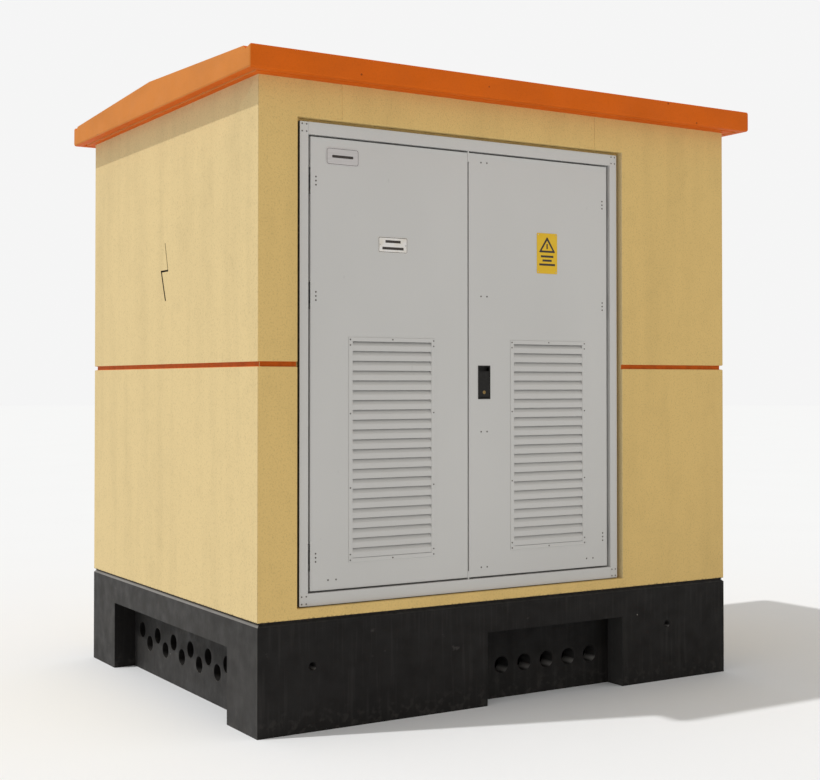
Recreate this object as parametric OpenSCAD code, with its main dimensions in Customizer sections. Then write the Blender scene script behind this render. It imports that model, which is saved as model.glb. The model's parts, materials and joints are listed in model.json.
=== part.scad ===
// Precast compact substation: a rendered concrete kiosk with louvred double doors
// and an oil transformer on rails inside. Millimetres. The origin is the centre of
// the underside, +Z is up, and the doors face -Y.

/* [Building] */
// Length of the door side
wall_w = 2700; // [2680:10:2760]
// Depth from the door side to the rear
wall_d = 2100; // [2060:10:2160]
// Thickness of the four walls
wall_t = 100; // [90:5:110]
// Height of the black plinth
base_h = 485; // [480:5:490]
// Height of the roof's underside
soffit_z = 2838; // [2820:2:2860]
// How far the roof stands out at the two ends
overhang_x = 90; // [70:5:120]
// How far the roof stands out at the front and rear
overhang_y = 105; // [80:5:130]
// Height of the eaves' lips
lip_z = 2943; // [2930:1:2960]
// Height of the ridge
ridge_z = 2988; // [2970:1:3020]
// Thickness of the floor slab
floor_t = 60; // [50:5:80]

/* [Base bays] */
// Thickness of the plinth's own wall
plinth_t = 200; // [190:5:220]
// Depth of the stepped-in bays at the foot
bay_depth = 115; // [100:5:120]
// Height of the bays
bay_h = 345; // [320:5:360]
// Radius of a cable duct hole
duct_r = 40; // [30:1:45]

/* [Doors] */
// Centre of the doorway, from the kiosk's middle
door_cx = -249; // [-260:1:-230]
// Outer width of the door frame
frame_w = 1784; // [1776:2:1792]
// Lowest edge of the frame
frame_z0 = 542; // [540:1:544]
// Highest edge of the frame
frame_z1 = 2661; // [2656:1:2664]
// How far the frame's face lies behind the wall's face
frame_set = 20; // [16:1:26]
// How far the leaves' faces lie behind the frame's face
leaf_set = 10; // [8:1:12]
// Gap between a leaf and the frame's side
side_gap = 15; // [14:0.5:17]
// Gap above and below a leaf
end_gap = 8; // [7:0.5:9]
// Half of the gap between the two leaves
centre_gap = 4; // [4:0.5:5]
// Joint between the frame and the wall at each side
joint_side = 19; // [16:1:22]
// Joint between the frame and the wall at the top
joint_top = 14; // [12:1:16]
// Joint between the frame and the wall at the foot
joint_foot = 4; // [3:1:6]
// Number of blades in a grille
blades = 22; // [18:1:24]

/* [Transformer] */
// Length of the tank
tank_l = 1040; // [1000:10:1080]
// Width of the tank
tank_d = 460; // [440:10:480]
// Height of the tank
tank_h = 1000; // [960:10:1020]
// Depth of the cooling fins on the long sides
fin_depth = 200; // [150:10:220]

/* [Hidden] */
$fn = 48;

ochre = [0.88, 0.76, 0.50];
orange = [0.90, 0.42, 0.12];
black_paint = [0.13, 0.12, 0.12];
concrete = [0.60, 0.59, 0.56];
door_grey = [0.72, 0.71, 0.68];
zinc = [0.66, 0.67, 0.68];
steel = [0.50, 0.51, 0.52];
plastic_black = [0.09, 0.09, 0.09];
tank_grey = [0.42, 0.46, 0.46];
porcelain = [0.40, 0.20, 0.13];
brass = [0.78, 0.60, 0.28];
copper = [0.72, 0.43, 0.28];

wx = wall_w / 2;
wy = wall_d / 2;
floor_z = base_h + floor_t;

// A box from low and high values on each axis.
module block(x, y, z)
    translate([x[0], y[0], z[0]]) cube([x[1] - x[0], y[1] - y[0], z[1] - z[0]]);

// Cylinders that start at p and run along +X, +Y or +Z.
module rod_x(p, r, l) translate(p) rotate([0, 90, 0]) cylinder(r = r, h = l);
module rod_y(p, r, l) translate(p) rotate([-90, 0, 0]) cylinder(r = r, h = l);
module rod_z(p, r, l) translate(p) cylinder(r = r, h = l);

// An outline drawn in Y and Z, run along +X from x0.
module along_x(x0, l) translate([x0, 0, 0]) rotate([90, 0, 90]) linear_extrude(l) children();

// The right half of the doorway repeats the left half, mirrored about its middle.
module other_side() translate([2 * door_cx, 0, 0]) mirror([1, 0, 0]) children();

// ---------------------------------------------------------------- base

socket_r = 18;
socket_depth = 100;
socket_z = 285;
socket_xs = [-1085, 955];
front_bay = [-160, 660];
left_bay = [-736, 715];
slab_bottom = 100;
base_chamfer = 12;
joint_h = 6;
joint_depth = 8;

// Cable duct holes: one row in the front bay, two staggered rows in the left bay.
front_duct_z = 157;
front_duct_xs = [for (i = [0:4]) 135 * i];
left_duct_pitch = 217;
left_duct_mid = 64;
left_duct_rows = [[209, 6], [153, 5]];

module chamfer_along_x(y)
    translate([0, y, base_h]) rotate([45, 0, 0])
        cube([wall_w + 100, base_chamfer * sqrt(2), base_chamfer * sqrt(2)], center = true);
module chamfer_along_y(x)
    translate([x, 0, base_h]) rotate([0, 45, 0])
        cube([base_chamfer * sqrt(2), wall_d + 100, base_chamfer * sqrt(2)], center = true);

module base_plinth() color(black_paint) difference() {
    block([-wx, wx], [-wy, wy], [0, base_h]);
    block([-wx + plinth_t, wx - plinth_t], [-wy + plinth_t, wy - plinth_t],
          [slab_bottom, base_h + 1]);
    block(front_bay, [-wy - 1, -wy + plinth_t], [-1, bay_h]);
    block([-wx - 1, -wx + plinth_t], left_bay, [-1, bay_h]);
    for (x = socket_xs) {
        rod_y([x, -wy - 1, socket_z], socket_r, socket_depth + 1);
        rod_y([x, wy - socket_depth, socket_z], socket_r, socket_depth + 1);
    }
    for (side = [-1, 1]) {
        chamfer_along_x(side * wy);
        chamfer_along_y(side * wx);
    }
}

module cable_entry_panels() color(black_paint) {
    difference() {
        block(front_bay, [-wy + bay_depth, -wy + plinth_t], [0, bay_h]);
        for (x = front_duct_xs) rod_y([x, -wy, front_duct_z], duct_r, plinth_t + 50);
    }
    difference() {
        block([-wx + bay_depth, -wx + plinth_t], left_bay, [0, bay_h]);
        for (row = left_duct_rows, i = [0:row[1] - 1])
            rod_x([-wx, left_duct_mid + left_duct_pitch * (i - (row[1] - 1) / 2), row[0]],
                  duct_r, plinth_t + 50);
    }
}

// ---------------------------------------------------------------- floor, walls and roof

// The floor is three planks, with a cable slot between them at the front and the rear.
floor_planks = [[-wy + wall_t, -690], [-590, 600], [720, wy - wall_t]];

module floor_slab() color(concrete)
    for (y = floor_planks) block([-wx + wall_t, wx - wall_t], y, [base_h, floor_z]);

band_z = 1597;
band_h = 20;
band_depth = 12;

// A square ring cut into the walls' outer faces.
module wall_ring(z, depth) difference() {
    block([-wx - 1, wx + 1], [-wy - 1, wy + 1], z);
    block([-wx + depth, wx - depth], [-wy + depth, wy - depth], z);
}
module wall_grooves() {
    wall_ring([band_z - band_h / 2, band_z + band_h / 2], band_depth);
    wall_ring([base_h - 1, base_h + joint_h], joint_depth);
}
// One wall with mitred ends, for the side that faces -Y (w along X) before it is turned.
module wall_prism(w, d)
    translate([0, 0, base_h]) linear_extrude(soffit_z - base_h)
        polygon([[-w, -d], [w, -d], [w - wall_t, -d + wall_t], [-w + wall_t, -d + wall_t]]);

// A groove in the left wall: two strokes joined by a short level step.
zig = [[12, 2201], [-26, 2066], [61, 2066], [7, 1922]];
zig_width = 9;
zig_depth = 9;
module stroke(a, b) translate(a) rotate(atan2(b[1] - a[1], b[0] - a[0]))
    translate([-zig_width / 2, -zig_width / 2]) square([norm(b - a) + zig_width, zig_width]);

module left_wall() color(ochre) difference() {
    rotate([0, 0, -90]) wall_prism(wy, wx);
    wall_grooves();
    along_x(-wx - 1, zig_depth + 1) for (i = [0:2]) stroke(zig[i], zig[i + 1]);
}
module right_wall() color(ochre) difference() {
    rotate([0, 0, 90]) wall_prism(wy, wx);
    wall_grooves();
}
module rear_wall() color(ochre) difference() {
    rotate([0, 0, 180]) wall_prism(wx, wy);
    wall_grooves();
}

fx0 = door_cx - frame_w / 2;
fx1 = door_cx + frame_w / 2;
wall_hole_x = [fx0 - joint_side, fx1 + joint_side];
wall_hole_z = [frame_z0 - joint_foot, frame_z1 + joint_top];
patch_w = 54;
patch_xs = [-994, 434];
patch_depth = 1.5;
joint_set = 22;

// Mortar beds the door frame in a wider hole, and stops joint_set behind the frame's face.
module front_wall() color(ochre) difference() {
    wall_prism(wx, wy);
    wall_grooves();
    block(wall_hole_x, [-wy - 1, frame_face + joint_set], wall_hole_z);
    block([fx0, fx1], [-wy - 1, frame_back + 1], [frame_z0, frame_z1]);
    for (x = patch_xs)
        block([x, x + patch_w], [-wy - 1, -wy + patch_depth], [wall_hole_z[1] + 5, soffit_z + 1]);
}

roof_x = wx + overhang_x;
roof_y = wy + overhang_y;
drip_in = 45;
drip_w = 12;
drip_depth = 8;

// The gutter is a shallow notch just inside each lip.
module roof_profile() polygon([
    [-roof_y, soffit_z], [roof_y, soffit_z], [roof_y, lip_z], [roof_y - 45, lip_z - 20],
    [roof_y - 65, lip_z - 3], [0, ridge_z], [65 - roof_y, lip_z - 3],
    [45 - roof_y, lip_z - 20], [-roof_y, lip_z]]);

module roof_slab() color(orange) difference() {
    along_x(-roof_x, 2 * roof_x) roof_profile();
    difference() {
        block([drip_in - roof_x, roof_x - drip_in], [drip_in - roof_y, roof_y - drip_in],
              [soffit_z - 1, soffit_z + drip_depth]);
        block([drip_in + drip_w - roof_x, roof_x - drip_in - drip_w],
              [drip_in + drip_w - roof_y, roof_y - drip_in - drip_w],
              [soffit_z - 2, soffit_z + drip_depth + 1]);
    }
}

// ---------------------------------------------------------------- door frame

stile_w = 43;
head_h = 54;
sill_h = 55;
sheet = 3;
frame_face = -wy + frame_set;
frame_back = -wy + wall_t;
leaf_face = frame_face + leaf_set;
leaf_t = 30;
leaf_back = leaf_face + leaf_t;
stop_face = leaf_back + 12;
stop_back = stop_face + 6;
stop_w = 67;
stop_h = 55;
opening_x0 = fx0 + stile_w;
opening_x1 = fx1 - stile_w;
opening_z0 = frame_z0 + sill_h;
opening_z1 = frame_z1 - head_h;
bolt_x = -342;
rod_cx = -159;
rod_cy = leaf_face + 13;
keeper_r = 8;

// A folded channel, open at the back: x and z give its face.
module channel(x, z) difference() {
    block(x, [frame_face, frame_back], z);
    block([x[0] + sheet, x[1] - sheet], [frame_face + sheet, frame_back + 1],
          [z[0] + sheet, z[1] - sheet]);
}

module left_frame_stile() {
    channel([fx0, opening_x0], [frame_z0, frame_z1]);
    block([opening_x0 - sheet, opening_x0 + stop_w], [stop_face, stop_back],
          [opening_z0, opening_z1]);
}
module frame_stiles() color(door_grey) {
    left_frame_stile();
    other_side() left_frame_stile();
}

// Keeper holes for the latch rod and the shoot bolt.
module keeper_holes(z) for (x = [bolt_x, rod_cx]) rod_z([x, rod_cy, z], keeper_r, sheet + 2);

module frame_rails() color(door_grey) {
    stops_x = [opening_x0 + stop_w, opening_x1 - stop_w];
    tab_x = [door_cx - centre_gap + 0.5, door_cx + centre_gap - 0.5];
    tab_y = [leaf_face - 2, leaf_back];
    difference() {
        union() {
            channel([opening_x0, opening_x1], [opening_z1, frame_z1]);
            block(stops_x, [stop_face, stop_back], [opening_z1 - stop_h, opening_z1 + sheet]);
            block(tab_x, tab_y, [opening_z1 - 50, opening_z1 + sheet]);
        }
        keeper_holes(opening_z1 - 1);
    }
    difference() {
        union() {
            channel([opening_x0, opening_x1], [frame_z0, opening_z0]);
            block(stops_x, [stop_face, stop_back], [opening_z0 - sheet, opening_z0 + stop_h]);
            block(tab_x, tab_y, [opening_z0 - sheet, opening_z0 + 38]);
        }
        keeper_holes(opening_z0 - sheet - 1);
    }
}

// A domed blind rivet head standing on a plane that faces -Y.
module rivet(x, y, z, r = 3.5) translate([x, y, z]) rotate([90, 0, 0])
    cylinder(r1 = r, r2 = r * 0.6, h = 1.6, $fn = 24);

corner_rivets = [12, 34];
module frame_rivets() color(zinc)
    for (x = corner_rivets, z = [11, 43], top = [0, 1], right = [0, 1])
        rivet(right ? fx1 - x : fx0 + x, frame_face, top ? frame_z1 - z : frame_z0 + z);

seal_w = 10;
seal_in = 56;
module door_seal() color(plastic_black) {
    x = [opening_x0 + seal_in, opening_x1 - seal_in];
    z = [opening_z0 + 40, opening_z1 - 40];
    difference() {
        block(x, [stop_face - seal_w, stop_face], z);
        block([x[0] + seal_w, x[1] - seal_w], [stop_face - seal_w - 1, stop_face + 1],
              [z[0] + seal_w, z[1] - seal_w]);
    }
}

// ---------------------------------------------------------------- hinges

hinge_zs = [750, 1898, 2406];
pivot_in = 20;
pivot_x = opening_x0 + side_gap + pivot_in;
pivot_y = leaf_face + 10;
knuckle_r = 7.5;
pin_r = 4;
pin_clear = 0.05;
knuckle_half = 17.5;
hinge_half = 50;

module left_frame_halves() for (z = hinge_zs) difference() {
    union() {
        rod_z([pivot_x, pivot_y, z - knuckle_half], knuckle_r, 2 * knuckle_half);
        block([pivot_x + 3, pivot_x + 9], [pivot_y, stop_face], [z - knuckle_half, z + knuckle_half]);
        block([pivot_x - 20, pivot_x + 9], [stop_face - 3, stop_face], [z - 30, z + 30]);
    }
    rod_z([pivot_x, pivot_y, z - 60], pin_r, 120);
}
module hinge_frame_halves() color(zinc) {
    left_frame_halves();
    other_side() left_frame_halves();
}
module left_pins() for (z = hinge_zs)
    rod_z([pivot_x, pivot_y, z - hinge_half], pin_r, 2 * hinge_half);
module hinge_pins() color(steel) {
    left_pins();
    other_side() left_pins();
}

module leaf_halves() for (z = hinge_zs) difference() {
    union() {
        for (zk = [[z - hinge_half, z - knuckle_half - 0.5], [z + knuckle_half + 0.5, z + hinge_half]]) {
            rod_z([pivot_x, pivot_y, zk[0]], knuckle_r, zk[1] - zk[0]);
            block([pivot_x, pivot_x + 50], [leaf_face + 2, leaf_face + 5], zk);
        }
        block([pivot_x + 10, pivot_x + 50], [leaf_face + 2, leaf_face + 5],
              [z - hinge_half, z + hinge_half]);
    }
    rod_z([pivot_x, pivot_y, z - 60], pin_r + pin_clear, 120);
}
module left_hinge_leaf_halves() color(zinc) leaf_halves();
module right_hinge_leaf_halves() color(zinc) other_side() leaf_halves();

// ---------------------------------------------------------------- leaves

leaf_x0 = opening_x0 + side_gap;
leaf_x1 = door_cx - centre_gap;
leaf_z0 = opening_z0 + end_gap;
leaf_z1 = opening_z1 - end_gap;
skin = 2;
lip = 66;

grille_w = 456;
grille_z = [718, 1720];
grille_rim = 18;
left_grille_x = -891;
right_grille_x = -6;

// A folded tray, open at the back, with notches at the hinges. The grille's own opening
// is cut for one grille, whose left edge is at gx.
module leaf_tray() difference() {
    block([leaf_x0, leaf_x1], [leaf_face, leaf_back], [leaf_z0, leaf_z1]);
    block([leaf_x0 + skin, leaf_x1 - skin], [leaf_face + skin, leaf_back - skin],
          [leaf_z0 + skin, leaf_z1 - skin]);
    block([leaf_x0 + lip, leaf_x1 - lip], [leaf_face + skin, leaf_back + 1],
          [leaf_z0 + lip, leaf_z1 - lip]);
    for (z = hinge_zs)
        block([leaf_x0 - 1, leaf_x0 + 48], [leaf_face + skin, leaf_back + 1], [z - 60, z + 60]);
}
module grille_hole(gx)
    block([gx + grille_rim - 2, gx + grille_w - grille_rim + 2], [leaf_face - 1, leaf_back + 1],
          [grille_z[0] + grille_rim - 2, grille_z[1] - grille_rim + 2]);
module edge_holes(x) {
    rod_z([x, rod_cy, leaf_z0 - 1], keeper_r - 1, skin + 2);
    rod_z([x, rod_cy, leaf_z1 - skin - 1], keeper_r - 1, skin + 2);
}

module left_leaf_panel() color(door_grey) difference() {
    leaf_tray();
    grille_hole(left_grille_x);
    edge_holes(bolt_x);
}

handle_x = [rod_cx - 35, rod_cx + 35];
handle_z = [1440, 1598];
module right_leaf_panel() color(door_grey) difference() {
    other_side() leaf_tray();
    grille_hole(right_grille_x);
    edge_holes(rod_cx);
    block([handle_x[0] + 4, handle_x[1] - 4], [leaf_face - 1, leaf_back + 1],
          [handle_z[0] + 4, handle_z[1] - 4]);
}

// A channel that stiffens the skin, open towards it.
stiff_h = 40;
module stiffener(x, z) difference() {
    block(x, [leaf_face + skin, leaf_back - 4], [z - stiff_h / 2, z + stiff_h / 2]);
    block([x[0] - 1, x[1] + 1], [leaf_face + skin - 1, leaf_back - 6],
          [z - stiff_h / 2 + 2, z + stiff_h / 2 - 2]);
}
// A block with a guide bore for a rod or bolt of radius r at x.
module guide(x, z, r) difference() {
    block([x - 24, x + 24], [leaf_face + skin, rod_cy + 10], [z - 8, z + 8]);
    rod_z([x, rod_cy, z - 9], r + 0.3, 18);
}

rod_r = 5;
shoot_r = 6;
guide_zs = [648, 1286, 1925, 2559];
shoot_guides = [[640, 760], [2450, 2570]];

// The stay's bracket: a foot on the leaf's inner lip, an ear and the arm's pin.
stay_x = -974;
stay_y = leaf_back + 14;
stay_z = 661;
stay_pin_r = 4;
module stay_bracket() {
    block([stay_x - 20, stay_x + 20], [leaf_back, leaf_back + 4], [stay_z - 3, stay_z + 30]);
    block([stay_x - 8, stay_x + 8], [leaf_back, stay_y + 8], [stay_z, stay_z + 4]);
    rod_z([stay_x, stay_y, stay_z], stay_pin_r, 14);
}

module left_leaf_stiffeners() color(zinc) {
    for (z = [1790, 2120]) stiffener([leaf_x0 + lip, leaf_x1 - lip - 50], z);
    for (pair = shoot_guides, z = pair) guide(bolt_x, z, shoot_r);
    stay_bracket();
}
module right_leaf_stiffeners() color(zinc) {
    for (z = [1790, 2120])
        stiffener([rod_cx + 40, 2 * door_cx - leaf_x0 - lip], z);
    for (z = guide_zs) guide(rod_cx, z, rod_r);
    other_side() stay_bracket();
}

stay_len = 400;
stay_arm_z = stay_z + 4.4;
module stay_arm() difference() {
    union() {
        block([stay_x, stay_x + stay_len], [stay_y - 6, stay_y + 6], [stay_arm_z, stay_arm_z + 4]);
        rod_z([stay_x, stay_y, stay_arm_z], 9, 4);
        rod_z([stay_x + stay_len, stay_y, stay_arm_z], 6, 4);
    }
    rod_z([stay_x, stay_y, stay_arm_z - 1], stay_pin_r + 0.1, 6);
    rod_z([stay_x + stay_len - 14, stay_y, stay_arm_z - 1], 3, 6);
}
module left_stay_arm() color(zinc) stay_arm();
module right_stay_arm() color(zinc) other_side() stay_arm();

// ---------------------------------------------------------------- grilles

flange_t = 2.5;
blade_zone = [grille_z[0] + grille_rim, grille_z[1] - grille_rim];
blade_pitch = (blade_zone[1] - blade_zone[0]) / blades;
blade_t = 1.6;
blade_front = 25;
blade_run = 15;
cheek = 2;

module grille_frame(gx) difference() {
    block([gx, gx + grille_w], [leaf_face - flange_t, leaf_face], grille_z);
    block([gx + grille_rim, gx + grille_w - grille_rim], [leaf_face - flange_t - 1, leaf_face + 1],
          blade_zone);
}
// One blade has a flat front lip, and then leans back behind the next blade's lip.
module blade_profile() polygon([
    [0, 0], [0, blade_front], [blade_run, blade_pitch + 4],
    [blade_run + blade_t, blade_pitch + 4], [blade_t, blade_front - 0.5], [blade_t, 0]]);
module grille_blades(gx) {
    y0 = leaf_face - flange_t + 0.5;
    x = [gx + grille_rim, gx + grille_w - grille_rim];
    for (i = [0:blades - 1])
        along_x(x[0] + cheek / 2, x[1] - x[0] - cheek)
            translate([y0, blade_zone[0] + i * blade_pitch]) blade_profile();
    for (cx = [x[0], x[1] - cheek])
        block([cx, cx + cheek], [y0, leaf_face + 21], blade_zone);
}
module left_grille_frame() color(door_grey) grille_frame(left_grille_x);
module left_grille_blades() color(door_grey) grille_blades(left_grille_x);
module right_grille_frame() color(door_grey) grille_frame(right_grille_x);
module right_grille_blades() color(door_grey) grille_blades(right_grille_x);

// ---------------------------------------------------------------- fasteners on the leaves

rivet_in = 8;
module grille_rivets(gx) {
    y = leaf_face - flange_t;
    x = [gx + rivet_in, gx + grille_w - rivet_in];
    h = grille_z[1] - grille_z[0];
    for (xr = x, f = [0.01, 0.035, 0.33, 0.66, 0.965, 0.99])
        rivet(xr, y, grille_z[0] + f * h);
    for (z = [grille_z[0] + rivet_in, grille_z[1] - rivet_in]) rivet(gx + grille_w / 2, y, z);
}
module hinge_screws() for (z = hinge_zs, dz = [-18, 0, 18])
    rivet(pivot_x + 7, leaf_face, z + dz, 4);
module stay_screws() for (dx = [-20, 20]) rivet(stay_x + dx, leaf_face, 648, 4);

module left_leaf_fasteners() color(zinc) {
    hinge_screws();
    stay_screws();
    grille_rivets(left_grille_x);
}
module right_leaf_fasteners() color(zinc) {
    other_side() hinge_screws();
    other_side() stay_screws();
    grille_rivets(right_grille_x);
    for (z = guide_zs, dx = [-17, 17]) rivet(rod_cx + dx, leaf_face, z, 4);
}

// ---------------------------------------------------------------- plates

plate_t = 1.5;
module rounded_plate(x, z, r) translate([0, leaf_face, 0]) rotate([90, 0, 0])
    linear_extrude(plate_t) union() {
        translate([x[0] + r, z[0]]) square([x[1] - x[0] - 2 * r, z[1] - z[0]]);
        translate([x[0], z[0] + r]) square([x[1] - x[0], z[1] - z[0] - 2 * r]);
        for (cx = [x[0] + r, x[1] - r], cz = [z[0] + r, z[1] - r])
            translate([cx, cz]) circle(r = r);
    }
module maker_plate() color([0.80, 0.81, 0.80]) rounded_plate([-1006, -839], [2482, 2560], 16);
module room_plate() color([0.93, 0.93, 0.91]) rounded_plate([-739, -584], [2106, 2178], 4);
module warning_plate() color([0.85, 0.66, 0.15]) rounded_plate([152, 275], [2048, 2245], 5);

// ---------------------------------------------------------------- shoot bolts of the left leaf

shoot_len = 230;
module shoot_bolt(z0, knob_z) {
    rod_z([bolt_x, rod_cy, z0], shoot_r, shoot_len);
    block([bolt_x - 5, bolt_x + 5], [rod_cy, leaf_back + 6], [knob_z - 5, knob_z + 5]);
}
module top_shoot_bolt() color(steel) shoot_bolt(leaf_z1 - 6 - shoot_len, 2405);
module bottom_shoot_bolt() color(steel) shoot_bolt(leaf_z0 + 6, 800);

// ---------------------------------------------------------------- handle and latch

pocket_back = leaf_face + 16;
housing_back = leaf_face + 21;
paddle_x = [handle_x[0] + 7, handle_x[1] - 7];
paddle_pin_z = handle_z[0] + 13;
paddle_z = [paddle_pin_z, handle_z[1] - 26];
paddle_pin_y = leaf_face + 4;
paddle_pin_r = 2.5;

module handle_housing() color(plastic_black) difference() {
    union() {
        block(handle_x, [leaf_face - 2.5, leaf_face], handle_z);
        block([handle_x[0] + 4.2, handle_x[1] - 4.2], [leaf_face - 1, housing_back],
              [handle_z[0] + 4.2, handle_z[1] - 4.2]);
    }
    block([handle_x[0] + 6.5, handle_x[1] - 6.5], [leaf_face - 4, pocket_back],
          [handle_z[0] + 6.5, handle_z[1] - 6.5]);
    rod_x([handle_x[0] + 1, paddle_pin_y, paddle_pin_z], paddle_pin_r, 68);
}
module paddle_pin() color(steel)
    rod_x([handle_x[0] + 4.5, paddle_pin_y, paddle_pin_z], paddle_pin_r, 61);

lock_z = handle_z[0] + 32;
lock_r = 8;
module handle_paddle() color(plastic_black) difference() {
    union() {
        block(paddle_x, [leaf_face - 1.5, leaf_face + 5], paddle_z);
        rod_x([paddle_x[0], paddle_pin_y, paddle_pin_z], 5.5, paddle_x[1] - paddle_x[0]);
        rod_y([rod_cx, leaf_face + 4, lock_z], lock_r + 2, 8);
    }
    rod_x([paddle_x[0] - 1, paddle_pin_y, paddle_pin_z], paddle_pin_r + 0.05,
          paddle_x[1] - paddle_x[0] + 2);
    rod_y([rod_cx, leaf_face - 2, lock_z], lock_r + 0.1, 16);
}
module lock_cylinder() color(brass) difference() {
    rod_y([rod_cx, leaf_face - 1.5, lock_z], lock_r, 13);
    block([rod_cx - 1.2, rod_cx + 1.2], [leaf_face - 3, leaf_face + 3], [lock_z - 4.5, lock_z + 4.5]);
}

cam_z = 1500;
cam_pin = 28;
cam_y = housing_back + 10.5;
module latch_case() color(zinc) block([rod_cx - 30, rod_cx + 30], [housing_back, housing_back + 10],
                                      [handle_z[0] + 4, handle_z[1] - 30]);
module latch_cam() color(steel) {
    rod_y([rod_cx, cam_y, cam_z], 36, 6);
    for (side = [-1, 1]) rod_y([rod_cx + side * cam_pin, cam_y + 5, cam_z], 4, 10);
}
// A latch rod: a round rod in the leaf, a crank to the back, and a slotted drive strip.
// side is 1 for the top rod and -1 for the bottom one.
module latch_rod(side, z_tip, z_crank) difference() {
    strip_x = side > 0 ? [rod_cx + 12, rod_cx + 38] : [rod_cx - 38, rod_cx - 12];
    strip_z = side > 0 ? [cam_z - 10, z_crank] : [z_crank, cam_z + 10];
    crank_x = side > 0 ? [rod_cx - 8, rod_cx + 38] : [rod_cx - 38, rod_cx + 8];
    slot_x = side > 0 ? [rod_cx + 16, rod_cx + 33] : [rod_cx - 33, rod_cx - 16];
    union() {
        rod_z([rod_cx, rod_cy, min(z_tip, z_crank)], rod_r, abs(z_tip - z_crank));
        block([rod_cx - 8, rod_cx + 8], [rod_cy - 6, cam_y + 13], [z_crank - 8, z_crank + 8]);
        block(crank_x, [cam_y + 7, cam_y + 13], [z_crank - 8, z_crank + 8]);
        block(strip_x, [cam_y + 7, cam_y + 13], strip_z);
    }
    block(slot_x, [cam_y + 6, cam_y + 14], [cam_z - 5, cam_z + 5]);
}
module top_latch_rod() color(steel) latch_rod(1, leaf_z1 - 6, 1632);
module bottom_latch_rod() color(steel) latch_rod(-1, leaf_z0 + 6, 1402);

// ---------------------------------------------------------------- transformer

tx = -240;
ty = 60;
rail_h = 60;
wheel_r = 75;
axle_z = floor_z + rail_h + wheel_r;
tank_z = axle_z + 95;
tank_top = tank_z + tank_h;
tank_wall = 6;
rim = 30;
rim_t = 12;
cover_z = tank_top + rim_t;
cover_top = cover_z + 12;
tl = tank_l / 2;
td = tank_d / 2;

module transformer_tank() color(tank_grey) difference() {
    union() {
        block([tx - tl, tx + tl], [ty - td, ty + td], [tank_z, tank_top]);
        block([tx - tl - rim, tx + tl + rim], [ty - td - rim, ty + td + rim], [tank_top, cover_z]);
    }
    block([tx - tl + tank_wall, tx + tl - tank_wall], [ty - td + tank_wall, ty + td - tank_wall],
          [tank_z + tank_wall, cover_z + 1]);
}

fin_t = 8;
fin_pitch = 48;
end_fin_depth = 150;
fin_z = [tank_z + 150, tank_top - 110];
// A folded cooling wall: a back sheet of length l with fins of the given depth.
module fin_comb(l, depth) {
    n = floor((l / 2 - fin_t) / fin_pitch);
    translate([-l / 2, 0]) square([l, 4]);
    for (i = [-n:n]) translate([i * fin_pitch - fin_t / 2, 0]) square([fin_t, depth]);
}
module cooling_walls() color(tank_grey) translate([tx, ty, fin_z[0]]) {
    for (turn = [0, 180]) rotate([0, 0, turn]) translate([0, td, 0])
        linear_extrude(fin_z[1] - fin_z[0]) fin_comb(tank_l - 40, fin_depth);
    for (turn = [90, 270]) rotate([0, 0, turn]) translate([0, tl, 0])
        linear_extrude(fin_z[1] - fin_z[0]) fin_comb(tank_d - 40, end_fin_depth);
}

module tank_cover() color(tank_grey)
    block([tx - tl - rim, tx + tl + rim], [ty - td - rim, ty + td + rim], [cover_z, cover_top]);

module lifting_lug(x) translate([x, ty, 0]) difference() {
    block([-6, 6], [-45, 45], [cover_top, cover_top + 70]);
    rod_x([-7, 0, cover_top + 42], 16, 14);
}
module cover_bolts() color(zinc) {
    for (i = [-4.5:4.5], side = [-1, 1])
        rod_z([tx + i * 114, ty + side * (td + rim / 2), cover_top], 10, 9, $fn = 6);
    for (i = [-1.5:1.5], side = [-1, 1])
        rod_z([tx + side * (tl + rim / 2), ty + i * 114, cover_top], 10, 9, $fn = 6);
    for (side = [-1, 1]) lifting_lug(tx + side * (tl - 60));
}

limb = 60;
limb_pitch = 300;
yoke_h = 120;
core_z = [tank_z + tank_wall, tank_top - 170];
module core() color(steel) {
    for (z = [core_z[0], core_z[1] - yoke_h])
        block([tx - limb_pitch - limb, tx + limb_pitch + limb], [ty - limb, ty + limb],
              [z, z + yoke_h]);
    for (i = [-1:1])
        block([tx + i * limb_pitch - limb, tx + i * limb_pitch + limb], [ty - limb, ty + limb],
              [core_z[0] + yoke_h, core_z[1] - yoke_h]);
}
module winding(r_in, r_out) for (i = [-1:1]) translate([tx + i * limb_pitch, ty, 0])
    difference() {
        z = [core_z[0] + yoke_h + 15, core_z[1] - yoke_h - 15];
        rod_z([0, 0, z[0]], r_out, z[1] - z[0]);
        rod_z([0, 0, z[0] - 1], r_in, z[1] - z[0] + 2);
    }
module lv_windings() color(copper) winding(88, 112);
module hv_windings() color(copper) winding(120, 145);

// A porcelain bushing with n sheds, r_core thick and r_shed over the sheds.
module bushing(h, n, r_core, r_shed) {
    step = h / (n + 1);
    rotate_extrude() polygon(concat(
        [[0, 0], [r_core + 8, 0], [r_core + 8, step * 0.45]],
        [for (i = [1:n], p = [[r_core, i * step - step * 0.35], [r_shed, i * step - step * 0.1],
                              [r_shed, i * step], [r_core, i * step + step * 0.3]]) p],
        [[r_core - 4, h], [0, h]]));
}
hv_h = 300;
lv_h = 140;
hv_y = ty + 105;
lv_y = ty - 110;
hv_xs = [for (i = [-1:1]) tx + i * 270];
lv_xs = [for (i = [-1.5:1.5]) tx + i * 190];
module hv_bushings() color(porcelain)
    for (x = hv_xs) translate([x, hv_y, cover_top]) bushing(hv_h, 5, 32, 62);
module lv_bushings() color(porcelain)
    for (x = lv_xs) translate([x, lv_y, cover_top]) bushing(lv_h, 2, 30, 46);
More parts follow.
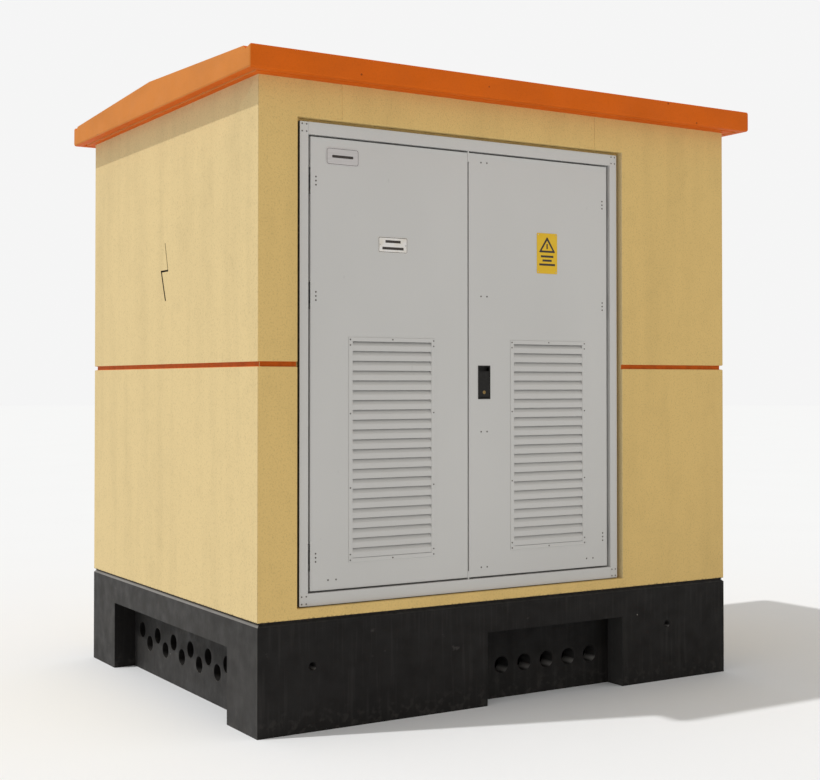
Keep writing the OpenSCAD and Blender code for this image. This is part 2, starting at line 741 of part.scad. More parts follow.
module bushing_terminals() color(brass) {
    for (x = hv_xs) {
        rod_z([x, hv_y, cover_top + hv_h], 9, 50);
        rod_z([x, hv_y, cover_top + hv_h + 12], 16, 12, $fn = 6);
    }
    for (x = lv_xs) difference() {
        union() {
            rod_z([x, lv_y, cover_top + lv_h], 18, 16);
            block([x - 30, x + 30], [lv_y - 6, lv_y + 6], [cover_top + lv_h + 10, cover_top + lv_h + 95]);
        }
        for (z = [40, 72]) rod_y([x, lv_y - 7, cover_top + lv_h + z], 7, 14);
    }
}

rail_x = 335;
bearing_r = 16;
module undercarriage() color(steel) for (side = [-1, 1]) difference() {
    x = tx + side * (rail_x - 60);
    block([x - 20, x + 20], [ty - 330, ty + 330], [axle_z - 30, tank_z]);
    for (dy = [-250, 250]) rod_x([x - 21, ty + dy, axle_z], bearing_r + 0.1, 42);
}
module wheelset(dy) {
    rod_x([tx - rail_x - 25, ty + dy, axle_z], bearing_r, 2 * rail_x + 50);
    for (side = [-1, 1]) {
        rod_x([tx + side * rail_x - 20, ty + dy, axle_z], wheel_r - 0.3, 40);
        rod_x([tx + side * (rail_x - 26) - 6, ty + dy, axle_z], wheel_r + 12, 12);
    }
}
module front_wheelset() color(steel) wheelset(-250);
module rear_wheelset() color(steel) wheelset(250);
module wheel_rails() color(zinc) for (side = [-1, 1])
    block([tx + side * rail_x - 17, tx + side * rail_x + 17], [ty - 480, ty + 480],
          [floor_z, floor_z + rail_h]);

knob_x = tx + 130;
module tap_changer_knob() color(plastic_black) {
    rod_z([knob_x, ty, cover_top], 26, 30);
    block([knob_x - 36, knob_x + 36], [ty - 6, ty + 6], [cover_top + 30, cover_top + 50]);
}

valve_x = tx + 150;
valve_z = tank_z + 45;
valve_y = ty - td;
module drain_valve() color(brass) {
    rod_y([valve_x, valve_y - 70, valve_z], 16, 70);
    rod_y([valve_x, valve_y - 78, valve_z], 26, 8);
    rod_z([valve_x, valve_y - 40, valve_z], 14, 40);
}
module valve_wheel() color([0.70, 0.15, 0.10]) translate([valve_x, valve_y - 40, valve_z]) {
    rod_z([0, 0, 40.2], 5, 18);
    difference() {
        rod_z([0, 0, 50], 26, 6);
        difference() {
            rod_z([0, 0, 49], 21, 8);
            for (a = [0, 60, 120]) rotate([0, 0, a]) block([-22, 22], [-3, 3], [48, 58]);
        }
    }
}
module oil_gauge() color([0.85, 0.86, 0.86]) {
    rod_z([tx - 180, ty, cover_top], 14, 40);
    translate([tx - 180, ty, cover_top + 62]) rotate([90, 0, 0])
        cylinder(r = 32, h = 28, center = true);
}

module earth_bar() color(copper) {
    x = wx - wall_t;
    block([x - 18, x - 12], [-400, 400], [760, 800]);
    for (y = [-360, 360]) block([x - 12, x], [y - 15, y + 15], [765, 795]);
}

// ---------------------------------------------------------------- what is drawn
base_plinth();
cable_entry_panels();
floor_slab();
left_wall();
right_wall();
rear_wall();
front_wall();
roof_slab();
frame_stiles();
frame_rails();
frame_rivets();
door_seal();
hinge_frame_halves();
hinge_pins();
left_leaf_panel();
left_leaf_stiffeners();
left_grille_frame();
left_grille_blades();
left_leaf_fasteners();
left_hinge_leaf_halves();
maker_plate();
room_plate();
top_shoot_bolt();
bottom_shoot_bolt();
left_stay_arm();
right_leaf_panel();
right_leaf_stiffeners();
right_grille_frame();
right_grille_blades();
right_leaf_fasteners();
right_hinge_leaf_halves();
warning_plate();
handle_housing();
handle_paddle();
paddle_pin();
lock_cylinder();
latch_case();
latch_cam();
top_latch_rod();
bottom_latch_rod();
right_stay_arm();
transformer_tank();
cooling_walls();
tank_cover();
cover_bolts();
core();
lv_windings();
hv_windings();
hv_bushings();
lv_bushings();
bushing_terminals();
undercarriage();
front_wheelset();
rear_wheelset();
wheel_rails();
tap_changer_knob();
drain_valve();
valve_wheel();
oil_gauge();
earth_bar();
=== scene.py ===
"""Looks of a precast compact substation: a rendered kiosk with louvred doors and its transformer.

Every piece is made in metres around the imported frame, +Z up, with the doors facing -Y.
"""

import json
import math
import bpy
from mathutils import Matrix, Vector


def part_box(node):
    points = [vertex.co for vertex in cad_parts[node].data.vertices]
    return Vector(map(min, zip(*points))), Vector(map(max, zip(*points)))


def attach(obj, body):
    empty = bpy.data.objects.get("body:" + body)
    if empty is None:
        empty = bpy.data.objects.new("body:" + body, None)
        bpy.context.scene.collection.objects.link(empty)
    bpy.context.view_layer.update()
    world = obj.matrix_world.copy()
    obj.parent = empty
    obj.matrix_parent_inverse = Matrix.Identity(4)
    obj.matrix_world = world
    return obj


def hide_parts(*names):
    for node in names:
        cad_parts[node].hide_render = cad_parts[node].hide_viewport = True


bl_info = {
    "name": "Compact Substation Kiosk",
    "version": (1, 0, 0),
    "blender": (4, 5, 0),
    "location": "View3D > Sidebar > Kiosk",
    "description": "Finishes a precast substation kiosk: concrete, doors, grilles and transformer",
    "category": "Object",
}

import bmesh
import bpy
from bpy.props import FloatProperty, FloatVectorProperty, IntProperty, PointerProperty
from mathutils import Matrix, Vector

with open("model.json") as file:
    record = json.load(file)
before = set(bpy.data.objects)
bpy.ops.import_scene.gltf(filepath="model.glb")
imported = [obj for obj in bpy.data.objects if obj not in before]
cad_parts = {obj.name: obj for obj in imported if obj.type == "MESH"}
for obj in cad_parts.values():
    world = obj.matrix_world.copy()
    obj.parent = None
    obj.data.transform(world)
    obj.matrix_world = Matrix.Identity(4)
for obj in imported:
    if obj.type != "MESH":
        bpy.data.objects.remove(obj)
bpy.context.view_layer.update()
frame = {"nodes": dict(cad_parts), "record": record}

RECORD = frame["record"]
BODY_OF = {node: body for body, nodes in RECORD["behaviour"]["bodies"].items() for node in nodes}
SLOT_OF = {part["node"]: part["material_slot"] for part in RECORD["subparts"]}

X = Vector((1, 0, 0))
Y = Vector((0, 1, 0))
Z = Vector((0, 0, 1))
WELD = 1e-5
ARRIS = math.radians(60)
FLAT = math.radians(0.5)
CORNER = math.radians(32)


# ------------------------------------------------------------------ sizes and colours


def length(name, description, default):
    """A length in metres that a user may change."""
    return FloatProperty(name=name, description=description, default=default, min=0.0, unit="LENGTH")


def colour(name, description, default):
    """A colour that a user may change."""
    return FloatVectorProperty(
        name=name, description=description, default=default, size=3, min=0.0, max=1.0, subtype="COLOR"
    )


class KioskSizes(bpy.types.PropertyGroup):
    """Sizes of the details that the frame leaves open."""

    plinth_arris: length("Plinth arris", "Rounding of the plinth's edges", 0.005)
    band_height: length("Band height", "Height of the painted groove's middle", 1.597)
    wall_arris: length("Wall arris", "Rounding of the rendered walls' edges", 0.004)
    roof_arris: length("Roof arris", "Rounding of the roof's long edges", 0.007)
    roof_corner: length("Roof corner", "Chamfer at the roof's two ends", 0.02)
    duct_rim: length("Duct rim", "Rounding of a duct hole's rim", 0.003)
    grain: length("Grain", "Size of the render's grains", 0.0045)
    frame_fold: length("Frame fold", "Bend radius of the door frame's sheet", 0.0014)
    leaf_fold: length("Leaf fold", "Bend radius of the leaves' sheet", 0.0009)
    blades: IntProperty(name="Blades", description="Blades in one grille", default=22, min=4)
    blade_lap: length("Blade lap", "How far a blade rises behind the next one", 0.004)
    blade_sheet: length("Blade sheet", "Thickness of a blade", 0.0015)
    blade_rise: length("Blade lip", "Height of a blade's front lip", 0.025)
    wire_pitch: length("Wire pitch", "Pitch of the insect mesh", 0.0066)
    wire: length("Wire", "Thickness of the insect mesh's wires", 0.0007)
    shed_lip: length("Shed lip", "Roundness of a bushing's sheds", 0.004)
    fin_edge: length("Fin edge", "Rounding of the cooling fins", 0.003)


class KioskColours(bpy.types.PropertyGroup):
    """Colours of the finishes."""

    render_shade: colour("Render", "Ochre masonry paint", (0.74, 0.52, 0.196))
    # Painted sunlight: render_sun is a paler copy of render_shade, laid on the faces looking to -X, which the key
    # lamp lights.
    render_sun: colour("Sunlit render", "Ochre paint on the weather side", (0.71, 0.56, 0.29))
    roof_shade: colour("Roof", "Orange masonry paint", (0.70, 0.128, 0.003))
    # Painted sunlight: roof_sun is a paler copy of roof_shade for the roof's faces looking to -X, which the key lamp
    # lights.
    roof_sun: colour("Sunlit roof", "Orange paint on the weather side", (0.64, 0.225, 0.045))
    plinth_shade: colour("Plinth", "Black plinth paint", (0.0095, 0.0085, 0.008))
    # Painted sunlight: plinth_sun is a lighter grey copy of plinth_shade for the plinth's faces looking to -X, which
    # the key lamp lights.
    plinth_sun: colour("Dusty plinth", "Black paint under a little dust", (0.038, 0.037, 0.0365))
    concrete: colour("Concrete", "Bare cast concrete", (0.42, 0.41, 0.38))
    inner_wall: colour("Inner wall", "White emulsion inside", (0.72, 0.71, 0.67))
    door: colour("Door", "Light grey powder coat", (0.60, 0.595, 0.58))
    zinc: colour("Zinc", "Zinc plating", (0.56, 0.57, 0.58))
    steel: colour("Steel", "Oiled steel", (0.36, 0.36, 0.37))
    rivet: colour("Rivets", "Dulled rivet heads", (0.15, 0.14, 0.13))
    rubber: colour("Rubber", "Black rubber", (0.02, 0.02, 0.02))
    plastic: colour("Plastic", "Black moulded plastic", (0.010, 0.009, 0.008))
    brass: colour("Brass", "Machined brass", (0.66, 0.46, 0.18))
    silver: colour("Silver", "Anodised aluminium", (0.62, 0.60, 0.60))
    white: colour("White", "White laminate", (0.80, 0.78, 0.76))
    yellow: colour("Yellow", "Yellow enamel", (0.78, 0.48, 0.006))
    ink: colour("Ink", "Dark print", (0.03, 0.022, 0.018))
    tank: colour("Tank", "Grey tank paint", (0.17, 0.20, 0.20))
    core: colour("Core", "Laminated core steel", (0.20, 0.21, 0.23))
    copper: colour("Copper", "Bare copper", (0.68, 0.30, 0.16))
    winding: colour("Winding", "Enamelled copper wire", (0.45, 0.17, 0.07))
    porcelain: colour("Porcelain", "Brown glazed porcelain", (0.13, 0.045, 0.022))
    red: colour("Red", "Red valve paint", (0.42, 0.02, 0.015))


# ------------------------------------------------------------------ finishes


class Recipe:
    """A Principled material whose patterns are read in object coordinates, in metres."""

    def __init__(self, name, base, roughness, metallic=0.0, **sockets):
        self.material = bpy.data.materials.new(name)
        self.material.use_nodes = True
        self.tree = self.material.node_tree
        self.shader = self.tree.nodes["Principled BSDF"]
        self.base = (*base, 1.0)
        self.place = self.node("TexCoord").outputs["Object"]
        self.normal = None
        fixed = {"Base Color": self.base, "Roughness": roughness, "Metallic": metallic}
        for socket, value in {**fixed, **sockets}.items():
            self.shader.inputs[socket].default_value = value

    def node(self, kind, inputs=(), **settings):
        """Adds a node, with its settings and the values or links of its inputs."""
        made = self.tree.nodes.new("ShaderNode" + kind)
        for name, value in settings.items():
            setattr(made, name, value)
        for socket, value in dict(inputs).items():
            self.feed(made.inputs[socket], value)
        return made

    def feed(self, socket, value):
        if isinstance(value, bpy.types.NodeSocket):
            self.tree.links.new(value, socket)
        else:
            socket.default_value = value

    def scaled(self, size, stretch=(1, 1, 1)):
        scale = [1 / (size * s) for s in stretch]
        return self.node("Mapping", {"Vector": self.place, "Scale": scale}).outputs["Vector"]

    def blotches(self, size, detail=3.0, stretch=(1, 1, 1)):
        """Soft noise with patches of about that size."""
        inputs = {"Vector": self.scaled(size, stretch), "Scale": 1.0, "Detail": detail}
        return self.node("TexNoise", inputs).outputs[0]

    def pits(self, size, stretch=(1, 1, 1)):
        """The distance to scattered points that lie about that far apart."""
        inputs = {"Vector": self.scaled(size, stretch), "Scale": 1.0}
        return self.node("TexVoronoi", inputs).outputs["Distance"]

    def ridges(self, size, direction="Z"):
        """Parallel ridges, one to each size."""
        wave = self.node(
            "TexWave",
            {"Vector": self.place, "Scale": math.pi / (10 * size), "Distortion": 0.0},
            bands_direction=direction,
        )
        return wave.outputs["Fac"]

    def between(self, value, low, high, to_low=0.0, to_high=1.0):
        inputs = {"Value": value, "From Min": low, "From Max": high, "To Min": to_low, "To Max": to_high}
        return self.node("MapRange", inputs).outputs["Result"]

    def times(self, a, b):
        return self.node("Math", {0: a, 1: b}, operation="MULTIPLY").outputs[0]

    def facing(self, axis, sign):
        """1 on the faces that look along an axis, and 0 on the others."""
        split = self.node("SeparateXYZ", {0: self.node("TexCoord").outputs["Normal"]})
        return self.between(split.outputs[axis], sign * 0.3, sign * 0.8)

    def along(self, axis, low, high):
        """From 0 at low to 1 at high along an axis, in metres."""
        split = self.node("SeparateXYZ", {0: self.place})
        return self.between(split.outputs[axis], low, high)

    def paint(self, factor, over):
        """Lays another colour over the base where factor is high."""
        mix = self.node("Mix", data_type="RGBA")
        self.feed(mix.inputs[0], factor)
        self.feed(mix.inputs[6], self.base)
        self.feed(mix.inputs[7], over if isinstance(over, bpy.types.NodeSocket) else (*over, 1.0))
        self.base = mix.outputs[2]
        self.feed(self.shader.inputs["Base Color"], self.base)
        return self

    def tone(self, factor, amount):
        """Multiplies the base by amount where factor is high."""
        mix = self.node("Mix", data_type="RGBA", blend_type="MULTIPLY")
        self.feed(mix.inputs[0], factor)
        self.feed(mix.inputs[6], self.base)
        self.feed(mix.inputs[7], (amount, amount, amount, 1.0))
        self.base = mix.outputs[2]
        self.feed(self.shader.inputs["Base Color"], self.base)
        return self

    def rough(self, value, low, high):
        """Varies the roughness between two values."""
        self.feed(self.shader.inputs["Roughness"], self.between(value, 0.3, 0.7, low, high))
        return self

    def bump(self, value, depth, strength=1.0):
        """Raises the surface by up to depth, over any bump that is there."""
        made = self.node("Bump", {"Height": value, "Distance": depth, "Strength": strength})
        if self.normal is not None:
            self.feed(made.inputs["Normal"], self.normal)
        self.normal = made.outputs["Normal"]
        self.feed(self.shader.inputs["Normal"], self.normal)
        return self


def ochre_render(sizes, colours):
    """Sprayed masonry render: fine grains, faint streaks, and painted sunlight as a paler colour on the faces looking
    to -X.
    """
    r = Recipe("ochre_render", colours.render_shade, 0.88)
    r.shader.inputs["Specular IOR Level"].default_value = 0.25
    # Painted sunlight: the faces looking to -X take the paler render_sun colour.
    r.paint(r.facing("X", -1), colours.render_sun)
    r.tone(r.between(r.blotches(sizes.grain * 1.6, 2.0), 0.52, 0.70), 0.86)
    r.tone(r.between(r.blotches(0.5, 3.0, (0.25, 0.25, 3.0)), 0.45, 0.75), 0.93)
    r.tone(r.between(r.blotches(0.12, 4.0), 0.50, 0.80), 0.95)
    chips = r.times(r.along("Z", 0.500, 0.490), r.between(r.blotches(0.010, 3.0), 0.50, 0.62))
    r.paint(chips, colours.plinth_shade)
    r.bump(r.blotches(sizes.grain, 2.0), 0.0016, 0.8)
    r.bump(r.blotches(0.09, 2.0), 0.0012, 0.6)
    return r


def orange_paint(sizes, colours):
    """Masonry paint on cast concrete: small pits, scuffs, and painted sunlight as a paler colour on the faces looking
    to -X.
    """
    r = Recipe("orange_paint", colours.roof_shade, 0.62)
    r.shader.inputs["Specular IOR Level"].default_value = 0.15
    # Painted sunlight: the faces looking to -X take the paler roof_sun colour.
    r.paint(r.facing("X", -1), colours.roof_sun)
    r.tone(r.between(r.blotches(0.25, 4.0, (1.0, 1.0, 0.5)), 0.40, 0.75), 0.90)
    r.tone(r.between(r.blotches(0.006, 2.0), 0.50, 0.75), 0.92)
    r.tone(r.between(r.pits(0.11), 0.055, 0.03), 0.45)
    r.bump(r.between(r.pits(0.11), 0.02, 0.07), 0.002, 0.9)
    r.bump(r.blotches(0.05, 3.0), 0.002, 0.5)
    r.rough(r.blotches(0.1), 0.55, 0.72)
    return r


def band_paint(sizes, colours):
    """Orange paint in the wall's shadow groove, with painted shade: it is darker than the roof's orange."""
    r = Recipe("band_paint", colours.roof_shade, 0.6)
    r.shader.inputs["Specular IOR Level"].default_value = 0.15
    # Painted shade: the groove's orange starts from roof_shade and is darkened to 0.8 for the shade inside the
    # groove.
    r.tone(1.0, 0.8)
    r.tone(r.between(r.blotches(0.03, 3.0), 0.40, 0.70), 0.82)
    r.bump(r.blotches(0.006, 2.0), 0.0006, 0.5)
    return r


def plinth_paint(sizes, colours):
    """Black paint on cast concrete: painted sunlight on the faces looking to -X, a painted highlight where they also
    look up, dust, run marks, scuffs and bare chips.
    """
    r = Recipe("plinth_paint", colours.plinth_shade, 0.6)
    r.shader.inputs["Specular IOR Level"].default_value = 0.18
    # Painted sunlight: the faces looking to -X take the lighter plinth_sun grey.
    r.paint(r.facing("X", -1), colours.plinth_sun)
    r.paint(r.times(r.facing("Z", 1), r.blotches(0.02, 2.0)), (0.05, 0.048, 0.046))
    # Painted highlight: faces that look both up and to -X, such as the plinth's chamfer on the lit side, take a pale
    # grey in place of the key lamp's glint.
    r.paint(r.times(r.facing("X", -1), r.facing("Z", 1)), (0.36, 0.35, 0.34))
    foot = r.times(r.along("Z", 0.13, 0.01), r.between(r.blotches(0.035, 6.0), 0.52, 0.62))
    r.paint(r.times(foot, 0.16), (0.11, 0.10, 0.09))
    streaks = r.between(r.blotches(0.06, 4.0, (0.35, 0.35, 6.0)), 0.52, 0.80)
    r.paint(r.times(streaks, 0.2), (0.07, 0.066, 0.062))
    r.tone(r.between(r.blotches(0.3, 4.0), 0.40, 0.70), 0.75)
    scuffs = r.between(r.blotches(0.11, 6.0, (1.0, 1.0, 0.6)), 0.71, 0.76)
    r.paint(r.times(scuffs, 0.2), (0.14, 0.13, 0.12))
    specks = r.between(r.pits(0.085), 0.045, 0.03)
    r.paint(r.times(specks, r.between(r.blotches(0.5), 0.5, 0.6)), (0.30, 0.28, 0.25))
    r.bump(r.blotches(0.012, 3.0), 0.0010, 0.6)
    r.bump(r.blotches(0.15, 2.0), 0.0020, 0.5)
    r.rough(r.blotches(0.08), 0.48, 0.72)
    return r


def panel_paint(sizes, colours):
    """The plinth's paint over a panel cast against narrow boards, with a painted shadow over its upper part."""
    r = plinth_paint(sizes, colours)
    # Painted shadow: above about 0.2 m the panel is darkened to half, where the recess's top shades it from the key
    # lamp.
    r.tone(r.along("Z", 0.16, 0.20), 0.5)
    r.tone(r.times(r.facing("X", -1), r.between(r.ridges(0.108, "Y"), 0.0014, 0.0004)), 0.45)
    return r


def joint_shadow(sizes, colours):
    """The dark bottom of a narrow groove."""
    r = Recipe("joint_shadow", (0.012, 0.010, 0.009), 0.95)
    r.paint(r.between(r.blotches(0.02, 2.0), 0.55, 0.75), (0.05, 0.04, 0.03))
    r.bump(r.blotches(0.004, 2.0), 0.001, 0.6)
    return r


def bare_concrete(sizes, colours):
    """Cast concrete with air holes and trowel marks."""
    r = Recipe("bare_concrete", colours.concrete, 0.85)
    r.tone(r.between(r.blotches(0.35, 5.0), 0.35, 0.75), 0.78)
    r.tone(r.between(r.pits(0.05), 0.06, 0.03), 0.55)
    r.bump(r.between(r.pits(0.05), 0.02, 0.08), 0.0015, 0.7)
    r.bump(r.blotches(0.01, 3.0), 0.0008, 0.5)
    return r


def inner_wall(sizes, colours):
    """White emulsion over the inside of the cast walls."""
    r = Recipe("inner_wall", colours.inner_wall, 0.82)
    r.tone(r.between(r.blotches(0.4, 4.0), 0.40, 0.75), 0.90)
    r.tone(r.along("Z", 0.85, 0.54), 0.86)
    r.bump(r.blotches(0.008, 2.0), 0.0008, 0.6)
    return r


def door_grey(sizes, colours):
    """Satin powder coat: fine orange peel, light dust and a few rub marks."""
    r = Recipe("door_grey", colours.door, 0.42)
    r.shader.inputs["Specular IOR Level"].default_value = 0.4
    r.tone(r.between(r.blotches(0.6, 3.0, (1.0, 1.0, 1.8)), 0.38, 0.72), 0.96)
    r.tone(r.between(r.blotches(0.004, 2.0), 0.45, 0.75), 0.965)
    r.tone(r.along("Z", 0.95, 0.60), 0.965)
    marks = r.between(r.blotches(0.05, 6.0, (1.0, 1.0, 2.0)), 0.73, 0.77)
    r.tone(r.times(marks, 0.6), 0.85)
    r.bump(r.blotches(0.0016, 1.0), 0.00006, 0.5)
    r.bump(r.blotches(0.35, 1.0), 0.0016, 0.35)
    r.rough(r.blotches(0.02, 4.0), 0.38, 0.50)
    return r


def zinc_plate(sizes, colours):
    """Zinc plating with a cloudy passivation."""
    r = Recipe("zinc_plate", colours.zinc, 0.42, 0.85)
    r.paint(r.between(r.blotches(0.03, 3.0), 0.40, 0.70), (0.46, 0.47, 0.44))
    r.bump(r.blotches(0.0015, 2.0), 0.00005, 0.6)
    r.rough(r.blotches(0.012, 4.0), 0.34, 0.56)
    return r


def rivet_steel(sizes, colours):
    """Dull grey rivet heads, browned round their rims."""
    r = Recipe("rivet_steel", colours.rivet, 0.55, 0.6)
    r.paint(r.between(r.blotches(0.006, 3.0), 0.45, 0.70), (0.09, 0.075, 0.06))
    r.bump(r.blotches(0.0012, 2.0), 0.0001, 0.6)
    return r


def bare_steel(sizes, colours):
    """Bright drawn steel with a film of oil."""
    r = Recipe("bare_steel", colours.steel, 0.36, 0.95)
    r.paint(r.between(r.blotches(0.02, 5.0), 0.58, 0.74), (0.17, 0.12, 0.09))
    r.bump(r.blotches(0.0008, 2.0, (1.0, 1.0, 12.0)), 0.00006, 0.6)
    r.rough(r.blotches(0.006, 3.0), 0.26, 0.50)
    return r


def black_rubber(sizes, colours):
    """Matt extruded rubber with a dusty bloom."""
    r = Recipe("black_rubber", colours.rubber, 0.8)
    r.paint(r.times(r.between(r.blotches(0.03, 4.0), 0.45, 0.75), 0.4), (0.08, 0.078, 0.074))
    r.bump(r.blotches(0.0012, 2.0), 0.00012, 0.6)
    return r


def black_plastic(sizes, colours):
    """Grained black nylon, slightly greyed on its wear faces."""
    r = Recipe("black_plastic", colours.plastic, 0.46)
    r.shader.inputs["Specular IOR Level"].default_value = 0.25
    r.paint(r.times(r.between(r.blotches(0.02, 5.0), 0.50, 0.75), 0.2), (0.05, 0.047, 0.044))
    r.bump(r.blotches(0.0007, 1.0), 0.00005, 0.8)
    r.rough(r.blotches(0.008, 3.0), 0.42, 0.60)
    return r


def lock_brass(sizes, colours):
    """Machined brass, browned in its hollows."""
    r = Recipe("lock_brass", colours.brass, 0.3, 1.0)
    r.tone(1.0, 0.5)
    r.paint(r.between(r.blotches(0.008, 4.0), 0.50, 0.72), (0.30, 0.19, 0.08))
    r.rough(r.blotches(0.003, 3.0), 0.24, 0.44)
    return r


def plate_silver(sizes, colours):
    """Satin anodised aluminium with a brushed grain."""
    r = Recipe("plate_silver", colours.silver, 0.4, 0.55)
    r.tone(r.between(r.blotches(0.002, 3.0, (40.0, 1.0, 1.0)), 0.40, 0.70), 0.90)
    r.bump(r.blotches(0.0006, 1.0, (60.0, 1.0, 1.0)), 0.00004, 0.7)
    r.rough(r.blotches(0.02, 2.0), 0.34, 0.46)
    return r


def plate_white(sizes, colours):
    """White engraving laminate, a little yellowed."""
    r = Recipe("plate_white", colours.white, 0.4)
    r.paint(r.between(r.blotches(0.04, 3.0), 0.45, 0.80), (0.72, 0.67, 0.58))
    r.bump(r.blotches(0.0008, 1.0), 0.00003, 0.6)
    return r


def plate_yellow(sizes, colours):
    """Yellow enamel with a faint bleached cloud."""
    r = Recipe("plate_yellow", colours.yellow, 0.38)
    r.paint(r.between(r.blotches(0.05, 4.0), 0.48, 0.85), (0.78, 0.52, 0.02))
    r.bump(r.blotches(0.0012, 1.0), 0.00004, 0.6)
    return r


def print_ink(sizes, colours):
    """Screen-printed dark ink, worn thin in places."""
    r = Recipe("print_ink", colours.ink, 0.5)
    r.paint(r.between(r.blotches(0.004, 4.0), 0.60, 0.80), (0.10, 0.08, 0.06))
    return r


def tank_paint(sizes, colours):
    """Thick grey tank paint with runs and a little dust on top."""
    r = Recipe("tank_paint", colours.tank, 0.45)
    r.tone(r.between(r.blotches(0.3, 4.0, (1.0, 1.0, 2.0)), 0.40, 0.75), 0.84)
    r.paint(r.times(r.facing("Z", 1), r.blotches(0.06, 3.0)), (0.30, 0.31, 0.30))
    r.bump(r.blotches(0.004, 2.0), 0.00015, 0.6)
    r.rough(r.blotches(0.03, 3.0), 0.36, 0.56)
    return r


def core_steel(sizes, colours):
    """Stacked core sheets, seen as fine lines on their edges."""
    r = Recipe("core_steel", colours.core, 0.45, 0.8)
    r.tone(r.ridges(0.0012, "Y"), 0.72)
    r.tone(r.between(r.blotches(0.05, 3.0), 0.45, 0.75), 0.80)
    r.bump(r.ridges(0.0012, "Y"), 0.00015, 0.8)
    return r


def winding_copper(sizes, colours):
    """Layers of enamelled wire."""
    r = Recipe("winding_copper", colours.winding, 0.35, 0.4)
    r.tone(r.ridges(0.004, "Z"), 0.6)
    r.tone(r.between(r.blotches(0.02, 3.0), 0.45, 0.75), 0.80)
    r.bump(r.ridges(0.004, "Z"), 0.0015, 0.9)
    return r


def porcelain(sizes, colours):
    """Brown glaze that thins to a lighter brown."""
    r = Recipe("porcelain", colours.porcelain, 0.16)
    r.shader.inputs["Coat Weight"].default_value = 0.6
    r.shader.inputs["Coat Roughness"].default_value = 0.06
    r.paint(r.between(r.blotches(0.03, 4.0), 0.50, 0.78), (0.24, 0.09, 0.04))
    r.bump(r.blotches(0.02, 2.0), 0.0003, 0.5)
    return r


def copper_bar(sizes, colours):
    """Drawn copper, darkened in patches."""
    r = Recipe("copper_bar", colours.copper, 0.34, 0.95)
    r.paint(r.between(r.blotches(0.03, 5.0), 0.48, 0.70), (0.32, 0.13, 0.07))
    r.bump(r.blotches(0.001, 2.0, (1.0, 20.0, 1.0)), 0.00005, 0.6)
    r.rough(r.blotches(0.01, 3.0), 0.26, 0.46)
    return r


def valve_red(sizes, colours):
    """Gloss red paint with rubbed edges."""
    r = Recipe("valve_red", colours.red, 0.3)
    r.paint(r.between(r.blotches(0.01, 5.0), 0.62, 0.72), (0.20, 0.07, 0.06))
    r.bump(r.blotches(0.003, 2.0), 0.0001, 0.6)
    return r


FINISHES = (
    ochre_render, orange_paint, band_paint, plinth_paint, panel_paint, joint_shadow, bare_concrete,
    inner_wall, door_grey, zinc_plate, rivet_steel, bare_steel, black_rubber, black_plastic,
    lock_brass, plate_silver,
    plate_white, plate_yellow, print_ink, tank_paint, core_steel, winding_copper, porcelain,
    copper_bar, valve_red,
)


def finish(name):
    """The material of that name, made by its recipe the first time it is asked for."""
    title = name + "_finish"
    if title not in bpy.data.materials:
        scene = bpy.context.scene
        recipe = next(f for f in FINISHES if f.__name__ == name)
        recipe(scene.kiosk_sizes, scene.kiosk_colours).material.name = title
    return bpy.data.materials[title]


# ------------------------------------------------------------------ shapes


def placed(axis, a, b, c):
    """A point from its two coordinates across an axis and its place along it."""
    if axis == X:
        return Vector((c, a, b))
    if axis == Y:
        return Vector((a, c, b))
    return Vector((a, b, c))


def rounded(points, radius, steps=5, closed=True):
    """An outline with its corners blended by short curves that reach radius along each side."""
    made = []
    last = len(points) - 1
    for i, point in enumerate(points):
        corner = Vector(point)
        if not closed and i in (0, last):
            made.append(corner)
            continue
        before, after = Vector(points[i - 1]), Vector(points[(i + 1) % len(points)])
        start = corner + (before - corner).normalized() * radius
        end = corner + (after - corner).normalized() * radius
        for step in range(steps + 1):
            t = step / steps
            made.append(start * (1 - t) ** 2 + corner * 2 * t * (1 - t) + end * t * t)
    return made


def rectangle(low, high):
    return [(low[0], low[1]), (high[0], low[1]), (high[0], high[1]), (low[0], high[1])]


def ring(centre, radius, steps=32):
    turns = [2 * math.pi * i / steps for i in range(steps)]
    return [(centre[0] + radius * math.cos(t), centre[1] + radius * math.sin(t)) for t in turns]


def verts_of(result):
    return [g for g in result["geom"] if isinstance(g, bmesh.types.BMVert)]


def faces_of(result):
    return [g for g in result["geom"] if isinstance(g, bmesh.types.BMFace)]


def plate(bm, axis, low, high, outline, holes=()):
    """A flat plate across an axis, from low to high, cut to closed outlines."""
    edges = []
    for loop in (outline, *holes):
        verts = [bm.verts.new(placed(axis, point[0], point[1], low)) for point in loop]
        edges += [bm.edges.new(pair) for pair in zip(verts, verts[1:] + verts[:1])]
    faces = faces_of(bmesh.ops.triangle_fill(bm, edges=edges, use_beauty=True))
    grown = bmesh.ops.extrude_face_region(bm, geom=faces)
    bmesh.ops.translate(bm, verts=verts_of(grown), vec=axis * (high - low))


def bar(bm, low, high):
    """A box between two corners."""
    low, high = Vector(low), Vector(high)
    place = Matrix.Translation((low + high) / 2) @ Matrix.Diagonal((*(high - low), 1))
    bmesh.ops.create_cube(bm, size=1.0, matrix=place)


def rod(bm, start, end, radius, end_radius=None, segments=24):
    """A cylinder or cone between two points."""
    start, end = Vector(start), Vector(end)
    along = end - start
    turn = along.to_track_quat("Z", "Y").to_matrix().to_4x4()
    bmesh.ops.create_cone(
        bm,
        cap_ends=True,
        segments=segments,
        radius1=radius,
        radius2=radius if end_radius is None else end_radius,
        depth=along.length,
        matrix=Matrix.Translation((start + end) / 2) @ turn,
    )


